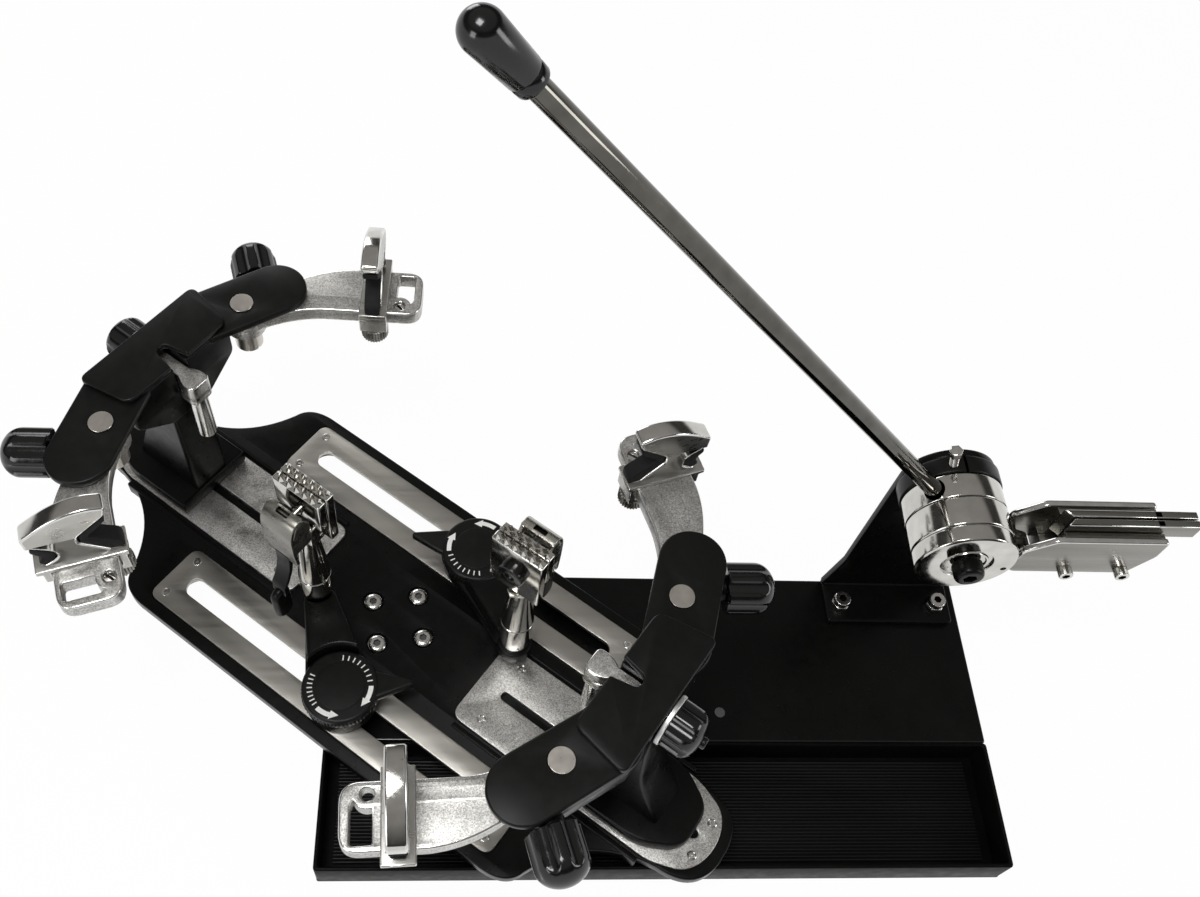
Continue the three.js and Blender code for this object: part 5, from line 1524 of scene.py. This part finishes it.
@dataclass
class Clamp(Assembly):
    """One string clamp: shoe in the rail, swivel arm, locking dial, post, jaws and flip lever.

    Attributes:
        side: right or left.
        along: place along the rail.
        across: distance of the rail from the long axis.
        arm: heading of the swivel arm in degrees.
        head: heading of the jaws.
        lever: heading of the dial's lever.
        marks: turn of the printed marks from the lever.
        reach: distance from the shoe to the post.
        neck: distance from the shoe to the end of the arm's taper.
        arm_low: underside of the swivel arm.
        collar: radius of the collar round the post.
        bolt_height: height of the jaws' bolt.
        cam: distance of the cam pin from the post's axis.
    """

    side: str
    along: float
    across: float
    arm: float
    head: float
    lever: float
    marks: float = 0.0
    reach: float = 78.0
    neck: float = 65.4
    arm_low: float = 52.0
    collar: float = 12.6
    bolt_height: float = 197.0
    cam: float = 10.2

    def build(self) -> None:
        """Builds the six pieces."""
        place = TABLE_TURN @ shift(self.along, self.across)
        arm = place @ spin("Z", self.arm)
        head = arm @ shift(self.reach) @ spin("Z", self.head - self.arm)
        tag = self.side
        # The left clamp's lever takes the darker warm satin and the right one the paler lever satin; the two
        # levers are the same part, so the left one's darker colour is painted shade.
        strip = Coat.LEVER_SATIN if tag == "right" else Coat.WARM_SATIN
        pieces = [
            ("shoe", "clamp_shoe", self.shoe().through(place), [Coat.PIN_STEEL]),
            ("arm", "clamp_arm", self.swivel_arm().through(arm), [Coat.BLACK_PAINT]),
            ("dial", "clamp_dial", self.dial().through(place), [Coat.MATT_BLACK, Coat.WHITE_PRINT]),
            ("post", "clamp_post", self.post().through(head), [Coat.CHROME, Coat.BLACK_GLOSS, Coat.NICKEL]),
            ("jaw", "clamp_jaw", self.sliding_jaw().through(head), [Coat.CHROME]),
            ("lever", "clamp_lever", self.flip_lever().through(head), [strip, Coat.BLACK_PAINT]),
        ]
        for word, node, surface, coats in pieces:
            self.make(f"clamp_{word}_{tag}_piece", surface, coats, f"{node}_{tag}", f"{node}_{tag}")

    def shoe(self) -> Surface:
        """Square nut, neck and stem.

        Returns:
            The shoe about its own axis.
        """
        nut = plate(rectangle(-10.5, 10.5, -10.5, 10.5, 1.5), 35.5, 42.0, edge=0.6)
        stem = lathe([(0, 41.5), (7.2, 41.5), (7.2, 47.1), (5, 47.1), (5, 68.4), (4.4, 69), (0, 69)], 36)
        return joined(nut, stem)

    def swivel_arm(self) -> Surface:
        """Round housing, tapering arm, and the collar that the post turns in.

        Returns:
            The arm along X from the shoe's axis.
        """
        housing = turned([
            (5.4, 47.4), (25, 47.4), (26, 48.4, 0.6), (26, 62.2, 1.0), (24.6, 63.0), (5.4, 63.0),
        ], 72)
        arm = plate(
            capsule((0, 0), (self.neck, 0), 25.5, self.collar, steps=28), self.arm_low, 62.9,
            holes=[circle(5.4, count=24)], edge=1.6, hole_edge=0.2,
        )
        boss_line = counter_clockwise(thinned(np.vstack([
            arc(29.1, 40, -40, 18),
            arc(self.collar, -90, -40, 10, self.neck),
            arc(12.3, 222, 138, 14, self.reach),
            arc(self.collar, 40, 90, 10, self.neck),
        ])))
        boss = plate(boss_line, self.arm_low, 80.0, edge=2.6, steps=5)
        socket = plate(
            circle(self.collar, self.reach, 0, count=48), self.arm_low, 63.7,
            holes=[circle(7.9, self.reach, 0, count=40)], edge=0.8,
        )
        return joined(housing, arm, boss, socket)

    def dial(self) -> Surface:
        """Locking dial: knurled band, raised disc, two white curved arrows, tick marks and a horn.

        Returns:
            The dial about the shoe's axis, its marks in finish 1.
        """
        low, high = 63.3, 73.0
        knurl = knurled(28.0, low, low + 6.2, teeth=64, depth=0.7)
        cap = turned([(0, low + 5), (27.4, low + 5), (27.4, high, 2.4), (0, high)], 96, 6)
        disc = turned([(0, high - 1), (17.8, high - 1), (17.8, high + 0.5, 0.4), (0, high + 0.5)], 72)
        horn_line = loop(
            [(6, -13.5, 2), (24, -11, 8), (52, -1.6, 1.2), (52, 1.6, 1.2), (24, 11, 8), (6, 13.5, 2)]
        )
        horn = plate(horn_line, 65.5, 72.3, edge=1.8, steps=4).through(spin("Z", self.lever))
        arrows = [self.arrow(-136.5, -92.5, high).dressed(1), self.arrow(-3.5, -47.5, high).dressed(1)]
        ticks = [
            self.tick(angle, high).dressed(1)
            for first, last in ((-206, -146), (7, 84)) for angle in np.linspace(first, last, 8)
        ]
        return joined(knurl, cap, disc, horn, *arrows, *ticks)

    def arrow(self, start: float, end: float, level: float) -> Surface:
        """Flat arrow bent round the dial: a band between two radii that ends in a point.

        Args:
            start: heading of its tail in degrees from the lever.
            end: heading of its tip.
            level: height it lies on.

        Returns:
            The thin plate, turned with the dial.
        """
        neck = start + 0.62 * (end - start)
        line = np.vstack([
            arc(23.8, start, neck, 9),
            arc(25.2, neck, neck, 1), arc(21.8, end, end, 1), arc(18.8, neck, neck, 1),
            arc(20.4, neck, start, 9),
        ])
        line = counter_clockwise(line @ spin("Z", self.lever + self.marks)[:2, :2].T)
        return plate(line, level - 0.2, level + 0.08, edge=0.0)

    def tick(self, degrees: float, level: float) -> Surface:
        """Short radial mark on the dial at a heading from the lever."""
        mark = block(19.6, 23.4, -0.45, 0.45, level - 0.2, level + 0.08, 0.0)
        return mark.through(spin("Z", self.lever + self.marks + degrees))

    def post(self) -> Surface:
        """Chrome post with its seam, cone and neck ring, the strap, head block, fixed jaw and bolt.

        Returns:
            The post about its own axis, the ring round the bolt in finish 1 and its socket in 2.
        """
        body = turned([
            (0, 48), (9.4, 48), (10, 48.6), (10, 59.7), (7.6, 59.7), (7.6, 64), (10.4, 64), (10.8, 66),
            (12, 82, 4), (12, 103.8, 0.3), (11.4, 104.3), (11.4, 104.9), (12, 105.4, 0.3), (11.8, 108, 3),
            (7.8, 156, 3), (7.6, 158), (8.6, 158), (9, 158.5, 0.3), (9, 163.6, 0.4), (8.4, 164), (0, 164),
        ], 72, 5)
        block_head = plate(rectangle(-12, 12, -7, 7, 3.0), 163.7, 186.0, edge=1.6, steps=4)
        front = -11.2
        jaw = plate(rectangle(-20, 20, front, -4.1, 1.2), 168.0, 220.0, edge=1.0)
        ring = turned([(3.9, -6), (9.6, -6, 1.0), (9.6, 0.3), (3.9, 0.3)], 48).dressed(1)
        stud = turned([(0, -4.4), (4.1, -4.4), (4.1, 0), (0, 0)], 32)
        hexed = cut(stud, hex_pocket(2.6, -8, -2.4)).dressed(2)
        adjuster = along_y(joined(ring, hexed)).moved(y=front, z=self.bolt_height)
        bolt = along_y(lathe([(0, front), (3, front), (3, self.cam), (0, self.cam)], 24))
        pin = along_x(lathe([(0, -12), (2, -12), (2, 12), (0, 12)], 20)).moved(y=self.cam)
        inner = joined(bolt, pin).moved(z=self.bolt_height)
        strap_line = counter_clockwise(np.vstack([arc(10.6, -110, 110, 28), arc(9.1, 110, -110, 28)]))
        strap = plate(strap_line, 159.0, 163.2, edge=0.4)
        foot = plate(
            loop([(-5, -10.4, 0.8), (0, -14.2, 0.8), (5, -10.4, 0.8), (0, -8.4, 0.8)]), 161.6, 163.2,
            edge=0.4,
        )
        return joined(body, block_head, jaw, self.teeth(-7.65), adjuster, inner, strap, foot)

    def sliding_jaw(self) -> Surface:
        """Jaw that the lever draws against the fixed one.

        Returns:
            The jaw about the post's axis.
        """
        plain = block(-20, 20, -3.5, 3.6, 190.0, 220.0, 1.0)
        hole = along_y(lathe([(0, -20), (3.6, -20), (3.6, 20), (0, 20)], 28)).moved(z=self.bolt_height)
        return joined(cut(plain, hole), self.teeth(0.05))

    def teeth(self, across: float) -> Surface:
        """Two staggered rows of sharp diamond-based pyramids on top of a jaw.

        Args:
            across: middle of the jaw.

        Returns:
            All the pyramids in one surface.
        """
        parts = []
        base = np.array([[3.35, 0], [0, 2.2], [-3.35, 0], [0, -2.2]])
        for row, offset, count in ((-1.5, 0.0, 6), (1.5, 3.35, 5)):
            for i in range(count):
                at = np.array([-16.75 + 6.7 * i + offset, across + row])
                parts.append(self.frustum(base + at, base * 0.14 + at, 219.3, 223.9))
        return joined(*parts)

    @staticmethod
    def frustum(base: np.ndarray, top: np.ndarray, z0: float, z1: float) -> Surface:
        """Solid between two similar outlines at two heights.

        Args:
            base: the lower outline, counter-clockwise.
            top: the upper one, with as many points.
            z0: height of the lower outline.
            z1: height of the upper one.

        Returns:
            The closed surface.
        """
        count = len(base)
        rings = np.stack(
            [np.column_stack([base, np.full(count, z0)]), np.column_stack([top, np.full(count, z1)])],
            axis=1,
        )
        side = grid(rings, True)
        caps = [tuple(2 * i for i in reversed(range(count))), tuple(2 * i + 1 for i in range(count))]
        return Surface(side.points, side.faces + caps)

    def flip_lever(self) -> Surface:
        """Curved strip with a window, cheeks round the cam barrel, a narrow tail and an oval grip.

        The strip is a line of three parabolas and the same line moved 3 mm along its normal.

        Returns:
            The lever about the post's axis, its tail and grip in finish 1, and in finish 1 too a dark sheet
            under the window as painted shade.
        """
        back = np.vstack([
            bend((12, 211.8), (16, 213.0), (19.5, 211), 8),
            bend((19.5, 211), (24.5, 208), (25, 196), 12),
            bend((25, 196), (25.4, 178), (23.4, 164), 8),
        ])
        step = np.gradient(back, axis=0)
        step /= np.linalg.norm(step, axis=1)[:, None]
        normal = np.stack([step[:, 1], -step[:, 0]], axis=-1)
        inner = back + 3.0 * normal
        strip = sideways(
            plate(counter_clockwise(thinned(np.vstack([back, inner[::-1]]))), -13.5, 13.5, edge=0.8)
        )
        window = block(-5, 5, 13.6, 18.0, 200, 230, 0.8)
        strip = cut(strip, window)
        cheek_line = loop([
            (12.2, 210.2, 1), (7.4, 202.2, 2), (7.4, 178, 3), (23.4, 178, 2), (23.8, 194, 4),
            (19.0, 208.4, 2),
        ])
        cheek = sideways(plate(cheek_line, -1.5, 1.5, edge=0.6))
        cheeks = [cheek.moved(x=12.0), cheek.moved(x=-12.0)]
        barrel = lathe([(2.6, -11.0), (5.2, -11.0), (5.2, -3.7), (2.6, -3.7)], 32)
        barrels = [along_x(barrel), along_x(barrel.moved(z=14.7))]
        drums = [piece.moved(y=self.cam, z=self.bolt_height) for piece in barrels]
        tail_line = np.vstack([
            bend((24.2, 168), (22.6, 148), (32.9, 134), 10), [[33.4, 124.0]],
            [[29.6, 124.0]], bend((29.4, 134), (19.0, 148), (20.6, 168), 10),
        ])
        tail = sideways(plate(counter_clockwise(thinned(tail_line)), -6, 6, edge=0.7))
        grip = plate(capsule((33, 99.5), (33, 120.5), 7.5), -3.6, 3.6, edge=3.0, steps=6)
        # Dark sheet under the strip's window: painted shade inside the lever.
        shade = block(-5, 5, 13.6, 18.0, 208.4, 209.2, 0.1)
        return joined(strip, *cheeks, *drums, tail.dressed(1), shade.dressed(1), sideways(grip).dressed(1))


# Pivot and tension head


@dataclass
class Pivot(Assembly):
    """Bearing tube below the turntable with the flange that the deck is bolted to."""

    def build(self) -> None:
        """Builds the housing."""
        tube = turned([(15.3, 4), (20, 4, 0.6), (20, 31.2, 0.6), (15.3, 31.2)], 64)
        flange = turned([(19, 21.5), (38, 21.5, 0.8), (38, 26.5, 0.8), (19, 26.5)], 72)
        self.make("pivot_tube", joined(tube, flange), [Coat.BLACK_STEEL_AND_RECESS_SHADE], "frame", "pivot_housing")


@dataclass
class TensionHead(Assembly):
    """Bracket, axle, split collar, two drums, rod and gripper.

    Attributes:
        axis: x and z of the drum's axis.
        radius: of the drums.
        bore: radius of the hole that the axle passes.
        planes: y of the front face, middle disc, rear drum, its back, the collar and the plate.
        lean: heading of the rod in the upright plane, in degrees from +X.
        pin: x and z of the gripper's pin.
        grip_middle: y of the gripper's middle plane.
        grip_half: half the gripper's width.
    """

    axis: tuple[float, float] = (385.0, 199.0)
    radius: float = 34.2
    bore: float = 7.8
    planes: tuple[float, float, float, float, float, float] = (-25.0, -12.5, 8.8, 26.5, 26.8, 40.0)
    lean: float = 131.8
    pin: tuple[float, float] = (434.0, 177.0)
    grip_middle: float = 4.2
    grip_half: float = 16.8

    def build(self) -> None:
        """Builds the ten pieces."""
        self.make(
            "bracket_plate", self.bracket(), [Coat.BLACK_PAINT, Coat.NICKEL, Coat.BLACK_STEEL_AND_RECESS_SHADE], "frame",
            "head_bracket"
        )
        self.make("axle_bolt", self.axle(), [Coat.BLACK_PAINT], "frame", "drum_axle")
        self.make("collar_ring", self.collar(), [Coat.MATT_BLACK, Coat.NICKEL], "frame", "drum_collar")
        self.make("rear_drum_ring", self.rear_drum(), [Coat.CHROME], "rod", "rear_drum")
        self.make("front_drum_discs", self.front_drum(), [Coat.CHROME], "front_drum", "front_drum")
        # The rod's darkened chrome is a painted dark reflection.
        self.make("rod_bar", self.rod(), [Coat.DARK_REFLECTION_ROD_CHROME], "rod", "tension_rod")
        self.make("rod_knob_grip", self.knob(), [Coat.BLACK_GLOSS], "rod", "rod_knob")
        self.make(
            "gripper_cheeks", self.gripper(),
            [Coat.WARM_SATIN, Coat.POLISHED_EDGE, Coat.NICKEL, Coat.BLACK_STEEL_AND_RECESS_SHADE], "gripper", "gripper_body",
        )
        for word, sign in (("front", -1), ("rear", 1)):
            self.make(
                f"gripper_jaw_{word}_bar", self.jaw(sign), [Coat.WARM_SATIN, Coat.POLISHED_EDGE],
                f"gripper_jaw_{word}", f"gripper_jaw_{word}",
            )

    def on_axis(self, turned: Surface) -> Surface:
        """Carries a piece turned about Z, with z standing for y, to the drum's axis."""
        return along_y(turned).moved(self.axis[0], 0.0, self.axis[1])

    def on_rod(self, along: Surface, degrees: float, y: float) -> Surface:
        """Carries a piece that lies along X to a heading about the drum's axis, with its middle at y."""
        return along.through(shift(self.axis[0], y, self.axis[1]) @ spin("Y", -degrees))

    def bracket(self) -> Surface:
        """Upright plate with a round top, its foot, and two socket bolts on nuts.

        Returns:
            The bracket in place, its bolts in finish 1 and their sockets in 2, a dark finish as painted
            shade.
        """
        x, z = self.axis
        line = counter_clockwise(np.vstack([
            [[340.0, 36.0], [442.0, 36.0], [434.0, 74.5]],
            arc(self.radius - 1.0, 0, 180, 40, x, z),
            [[348.0, 74.5]],
        ]))
        upright = frontal(plate(line, -46.0, -40.0, holes=[circle(7.9, x, z, 36)], edge=1.2))
        foot = plate(rectangle(340, 442, 7, 46, 3.0), 30.3, 36.3, edge=1.2)
        fillet = block(341, 441, 38.5, 42, 34.0, 38.2, 1.4)
        bolts = []
        for at in (352.0, 430.0):
            nut = hex_nut(7.5, 4.0).moved(z=36.3)
            head = cap_screw(radius=6.5, height=6.0, socket=3.2, knurls=20).moved(z=40.2)
            shank = lathe([(0, 20.3), (3.9, 20.3), (3.9, 36.4), (0, 36.4)], 20)
            bolts.append(joined(nut, head, shank).raised(1).moved(at, 22.5))
        return joined(upright, foot, fillet, *bolts)

    def axle(self) -> Surface:
        """Axle with its domed socket head in front and the nut behind.

        Returns:
            The axle in place.
        """
        front = self.planes[0] - GAP
        profile = eased([
            (0, front - 11), (8.8, front - 11, 1.6), (10.2, front - 8.5, 2.4), (10.2, front, 0.6),
            (7.5, front), (7.5, 50), (0, 50),
        ])
        body = lathe(profile, 56)
        socket = hex_pocket(5.0, front - 20, front - 5.0)
        nut = plate(hexagon(12.0), 46.3, 54.3, edge=0.8)
        return self.on_axis(joined(cut(body, socket), nut))

    def collar(self) -> Surface:
        """Split collar, a ring cut once, with the threaded bolt beside its slit.

        Returns:
            The collar in place, its bolt in finish 1.
        """
        y0, y1 = self.planes[4], self.planes[5] - GAP
        rim, bore = 35.0, self.bore
        ring = self.on_axis(turned([(bore, y0), (rim, y0, 1.4), (rim, y1, 1.4), (bore, y1)], 96))
        slit = block(12, 80, y0 - 10, y1 + 10, -7, -5, 0.05)
        split = cut(ring, self.on_rod(slit, 101.0, 0.0))
        threads = [(3.0 - 0.35 * (i % 2), 22.0 + 0.5 * i) for i in range(49)]
        shank = along_x(lathe([(0, 22.0), *threads, (0, 46.2)], 24))
        head = along_x(plate(hexagon(4.7), 45.9, 52.0, edge=0.9))
        return joined(split, self.on_rod(joined(shank, head), 104.6, (y0 + y1) / 2).dressed(1))

    def rear_drum(self) -> Surface:
        """Rear drum with eased rims and the flared hole that the rod stands in.

        Returns:
            The drum in place.
        """
        y0, y1 = self.planes[2], self.planes[3]
        rim, bore = self.radius, self.bore
        ring = self.on_axis(turned([(bore, y0), (rim, y0, 1.0), (rim, y1, 1.4), (bore, y1)], 128))
        hole = along_x(
            lathe([(0, 14), (6.5, 14), (6.5, 31), (6.8, 32.4), (7.6, 33.8), (9.2, 35.6), (0, 40)], 40)
        )
        return cut(ring, self.on_rod(hole, self.lean, (y0 + y1) / 2))

    def front_drum(self) -> Surface:
        """Front and middle disc, the bearing rings, a small hole and the gripper's lug.

        Returns:
            The drum in place.
        """
        y0, y1, y2 = self.planes[0], self.planes[1], self.planes[2] - GAP
        rim, bore = self.radius, self.bore
        profile = eased([
            (bore, y0 + 1.5), (12.5, y0 + 1.5), (13.2, y0 + 0.5), (14.4, y0 + 0.5), (14.8, y0 + 1.5),
            (17.2, y0 + 1.5), (17.6, y0 + 0.3), (18.6, y0), (33, y0), (rim, y0 + 1.2, 0.6),
            (rim, y1 - 1.1, 0.6), (33.4, y1 - 0.4), (32.8, y1 - 0.4), (32.8, y1), (33.4, y1),
            (rim, y1 + 0.8, 0.5), (rim, y2 - 0.9, 0.5), (33.3, y2), (bore, y2),
        ], 3)
        discs = self.on_axis(lathe(profile, 128))
        x, z = self.pin
        lug = frontal(plate(
            capsule(self.axis, self.pin, 9.6), -y2, -(self.grip_middle - 8.0), edge=0.8, low_edge=0.0
        ))
        pin_hole = along_y(lathe([(0, -60), (4.3, -60), (4.3, 60), (0, 60)], 28)).moved(x, 0, z)
        inside = self.on_axis(lathe([(0, -60), (30, -60), (30, 60), (0, 60)], 48))
        knuckle = cut(lug, inside, pin_hole)
        mark = along_y(lathe([(0, y0 - 5), (2.6, y0 - 5), (2.0, y0 + 0.8), (2.0, y0 + 3), (0, y0 + 3)], 24))
        spot = arc(28.5, -12.0, -12.0, 1, *self.axis)[0]
        return joined(cut(discs, mark.moved(spot[0], 0, spot[1])), knuckle)

    def rod(self) -> Surface:
        """Rod with an eased foot."""
        bar = along_x(turned([(0, 16), (6.2, 16, 1), (6.2, 481), (0, 481)], 64))
        return self.on_rod(bar, self.lean, (self.planes[2] + self.planes[3]) / 2)

    def knob(self) -> Surface:
        """Domed grip with a shallow band at its root, over the rod's end.

        Returns:
            The grip in place.
        """
        start, radius, length = 470.0, 11.0, 45.0
        dome = np.linspace(0.0, np.pi / 2, 14)
        end = start + length
        profile = [
            (6.5, start), (8.6, start), (9.0, start + 0.8), (9.2, start + 5), (8.7, start + 6),
            (9.4, start + 7.2),
        ]
        profile += [(radius * math.cos(a), end - radius + radius * math.sin(a)) for a in dome[:-1]]
        body = along_x(lathe([*profile, (0, end)], 56))
        return self.on_rod(body, self.lean, (self.planes[2] + self.planes[3]) / 2)

    def gripper(self) -> Surface:
        """Two cheeks with bevelled rims, the web, the wedges behind the jaws, the pin and two screws.

        Returns:
            The body in place, its rims and pin in finish 1, its screws in 2 and their sockets in 3, a dark
            finish as painted shade.
        """
        side = loop([(430, 194), (449, 209), (528, 209), (528, 190), (516, 165), (432, 165), (427, 170)], 3.0)
        y0, y1 = self.grip_middle - self.grip_half, self.grip_middle + self.grip_half
        dress = (0, 1, 1)
        cheeks = [
            frontal(plate(side, -(y0 + 5.0), -y0, edge=1.5, dress=dress)),
            frontal(plate(side, -y1, -(y1 - 5.0), edge=1.5, dress=dress)),
        ]
        web = block(452, 515.6, y0 + 4, y1 - 4, 165.4, 180.0, 0.3)
        pin = along_y(
            turned([(0, y0 + 0.1), (4.0, y0 + 0.1, 0.4), (4.0, y1 - 0.1, 0.4), (0, y1 - 0.1)], 32)
        ).moved(self.pin[0], 0, self.pin[1])
        wedges = []
        for sign in (-1, 1):
            outer = self.grip_middle + sign * (self.grip_half - 2.5)
            inner = self.grip_middle + sign * 7.1
            line = counter_clockwise(
                np.array([[457.0, outer], [527.6, outer], [527.6, inner], [457.0, inner]])
            )
            wedges.append(plate(line, 179.7, 206.0, edge=0.4))
        screws = []
        for x in (469.0, 510.0):
            head = cap_screw(radius=5.0, height=6.5, socket=2.9, knurls=18)
            screws.append(head.through(spin("X", 90)).raised(2).moved(x, y0 + 0.05, 171.0))
        return joined(*cheeks, web, pin.dressed(1), *wedges, *screws)

    def jaw(self, sign: int) -> Surface:
        """Jaw with a straight gripping face, a slanted root and a low nose bar.

        Args:
            sign: -1 for the front jaw, 1 for the rear one.

        Returns:
            The jaw in place.
        """
        inner = self.grip_middle + sign * 0.7
        back = self.grip_middle + sign * 6.4
        line = counter_clockwise(np.array([
            [462.0, inner], [526.0, inner], [526.0, back], [457.0, back], [457.0, inner + sign * 5.0],
        ]))
        nose_line = counter_clockwise(np.array([
            [520.0, inner], [551.0, inner], [551.0, inner + sign * 5.6], [520.0, inner + sign * 5.6],
        ]))
        main = plate(line, 187.0, 214.0, edge=0.9, dress=(0, 1, 0))
        return joined(main, plate(nose_line, 200.0 if sign < 0 else 203.0, 214.0, edge=0.7, dress=(0, 1, 0)))


# Studio


@dataclass
class Studio:
    """Floor, lights and the camera at the photograph's viewing angle.

    Attributes:
        place: of the camera in metres.
        euler: its turn about X, Y and Z in degrees.
        lens: focal length in mm on a sensor of 36 mm.
        shift: of the frame, as shares of its width.
        floor_half: half the side of the floor in metres.
    """

    place: tuple[float, float, float] = (0.0441083, -0.3833812, 0.8858582)
    euler: tuple[float, float, float] = (33.45948, -4.63849, -1.39160)
    lens: float = 35.536
    shift: tuple[float, float] = (0.0363, -0.0109)
    floor_half: float = 4.0

    def build(self) -> None:
        """Sets up everything around the machine."""
        scene = bpy.context.scene
        scene.view_settings.view_transform = "Standard"
        self.camera(scene)
        self.world(scene)
        self.floor(scene)
        self.lamp("overhead", (-0.25, -0.4, 1.9), aim=(0.0, -0.1, 0.1), size=0.6, power=17.0)
        self.lamp("front", (-1.3, -1.5, 1.0), aim=(0.1, 0.0, 0.1), size=0.8, power=12.0)
        self.lamp("back", (-0.6, 2.0, 0.9), aim=(0.15, 0.0, 0.1), size=0.8, power=9.0)
        self.lamp("side", (1.9, -0.4, 0.9), aim=(0.2, 0.0, 0.1), size=0.6, power=7.0)

    def camera(self, scene: bpy.types.Scene) -> None:
        """Adds the camera.

        Args:
            scene: the scene it belongs to.
        """
        data = bpy.data.cameras.new("camera")
        data.sensor_width = 36.0
        data.lens = self.lens
        data.shift_x, data.shift_y = self.shift
        data.clip_start, data.clip_end = 0.02, 20.0
        camera = bpy.data.objects.new("camera", data)
        camera.location = self.place
        camera.rotation_euler = [math.radians(a) for a in self.euler]
        scene.collection.objects.link(camera)
        scene.camera = camera

    def world(self, scene: bpy.types.Scene) -> None:
        """Sets the surroundings: white near the horizon, a dark ring above it and warm grey overhead.

        Args:
            scene: the scene it belongs to.
        """
        world = bpy.data.worlds.new("studio")
        world.use_nodes = True
        nodes, links = world.node_tree.nodes, world.node_tree.links
        back = nodes["Background"]
        place = nodes.new("ShaderNodeTexCoord")
        split = nodes.new("ShaderNodeSeparateXYZ")
        ramp = nodes.new("ShaderNodeValToRGB")
        bands = ((0.0, 1.0), (0.1, 1.0), (0.2, 0.05), (0.5, 0.05), (0.62, 0.3), (1.0, 0.34))
        stops = ramp.color_ramp.elements
        for _ in bands[2:]:
            stops.new(0.5)
        for stop, (height, level) in zip(stops, bands):
            stop.position = height
            warm = 1.0 if level == 1.0 else 0.93
            stop.color = (level, level * (1.0 + warm) / 2, level * warm, 1.0)
        links.new(place.outputs["Generated"], split.inputs[0])
        links.new(split.outputs["Z"], ramp.inputs[0])
        links.new(ramp.outputs[0], back.inputs["Color"])
        back.inputs["Strength"].default_value = 1.0
        scene.world = world

    def floor(self, scene: bpy.types.Scene) -> None:
        """Adds the floor: a pale diffuse sheet that glows white to the eye and keeps a soft shadow.

        Args:
            scene: the scene it belongs to.
        """
        half, level = self.floor_half, -0.0006
        mesh = bpy.data.meshes.new("floor")
        corners = [(-half, -half, level), (half, -half, level), (half, half, level), (-half, half, level)]
        mesh.from_pydata(corners, [], [(0, 1, 2, 3)])
        floor = bpy.data.objects.new("floor", mesh)
        material = bpy.data.materials.new("white floor")
        material.use_nodes = True
        nodes, links = material.node_tree.nodes, material.node_tree.links
        shader = nodes["Principled BSDF"]
        shader.inputs["Base Color"].default_value = (0.9, 0.9, 0.9, 1.0)
        shader.inputs["Roughness"].default_value = 0.9
        shader.inputs["Specular IOR Level"].default_value = 0.0
        glow = nodes.new("ShaderNodeEmission")
        glow.inputs["Strength"].default_value = 1.0
        path = nodes.new("ShaderNodeLightPath")
        seen = path.outputs["Is Camera Ray"]
        for ray in ("Is Glossy Ray", "Is Transmission Ray"):
            either = nodes.new("ShaderNodeMath")
            either.operation = "MAXIMUM"
            links.new(seen, either.inputs[0])
            links.new(path.outputs[ray], either.inputs[1])
            seen = either.outputs[0]
        share = nodes.new("ShaderNodeMath")
        share.operation = "MULTIPLY"
        share.inputs[1].default_value = 0.97
        links.new(seen, share.inputs[0])
        mix = nodes.new("ShaderNodeMixShader")
        links.new(share.outputs[0], mix.inputs[0])
        links.new(shader.outputs[0], mix.inputs[1])
        links.new(glow.outputs[0], mix.inputs[2])
        links.new(mix.outputs[0], nodes["Material Output"].inputs["Surface"])
        mesh.materials.append(material)
        scene.collection.objects.link(floor)

    def lamp(
        self, name: str, place: Sequence[float], aim: Sequence[float], size: float, power: float
    ) -> None:
        """Adds a square soft light.

        Args:
            name: of the light.
            place: of its middle in metres.
            aim: the point it faces.
            size: its side in metres.
            power: in watts.
        """
        data = bpy.data.lights.new(name, "AREA")
        data.shape = "SQUARE"
        data.size = size
        data.energy = power
        lamp = bpy.data.objects.new(name, data)
        lamp.location = place
        lamp.rotation_euler = (Vector(aim) - Vector(place)).to_track_quat("-Z", "Y").to_euler()
        lamp.visible_camera = False
        bpy.context.scene.collection.objects.link(lamp)


def main() -> None:
    """Builds the studio and the machine."""
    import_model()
    Studio().build()
    paints = Paintbox()
    parts = [
        Base(paints),
        Pivot(paints),
        Turntable(paints),
        Tower(paints, "right", at=198.0, degrees=0.0, arms={
            "far": ArmPose(sign=1, swing=4.2, slide=-5.0),
            "near": ArmPose(sign=-1, swing=-1.0, slide=-5.0, screwed=False),
        }),
        Tower(paints, "left", at=-207.5, degrees=180.0, arms={
            "far": ArmPose(sign=-1, swing=4.2, slide=-4.0),
            "near": ArmPose(sign=1, swing=4.2, slide=-1.0),
        }),
        Clamp(paints, "left", along=9.3, across=-74.0, arm=143.2, head=180.0, lever=41.0),
        Clamp(paints, "right", along=18.9, across=74.0, arm=-31.6, head=0.0, lever=203.0, marks=24.0),
        TensionHead(paints),
    ]
    for part in parts:
        log.info("building %s", type(part).__name__)
        part.build()
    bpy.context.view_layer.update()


if __name__ == "__main__":
    main()
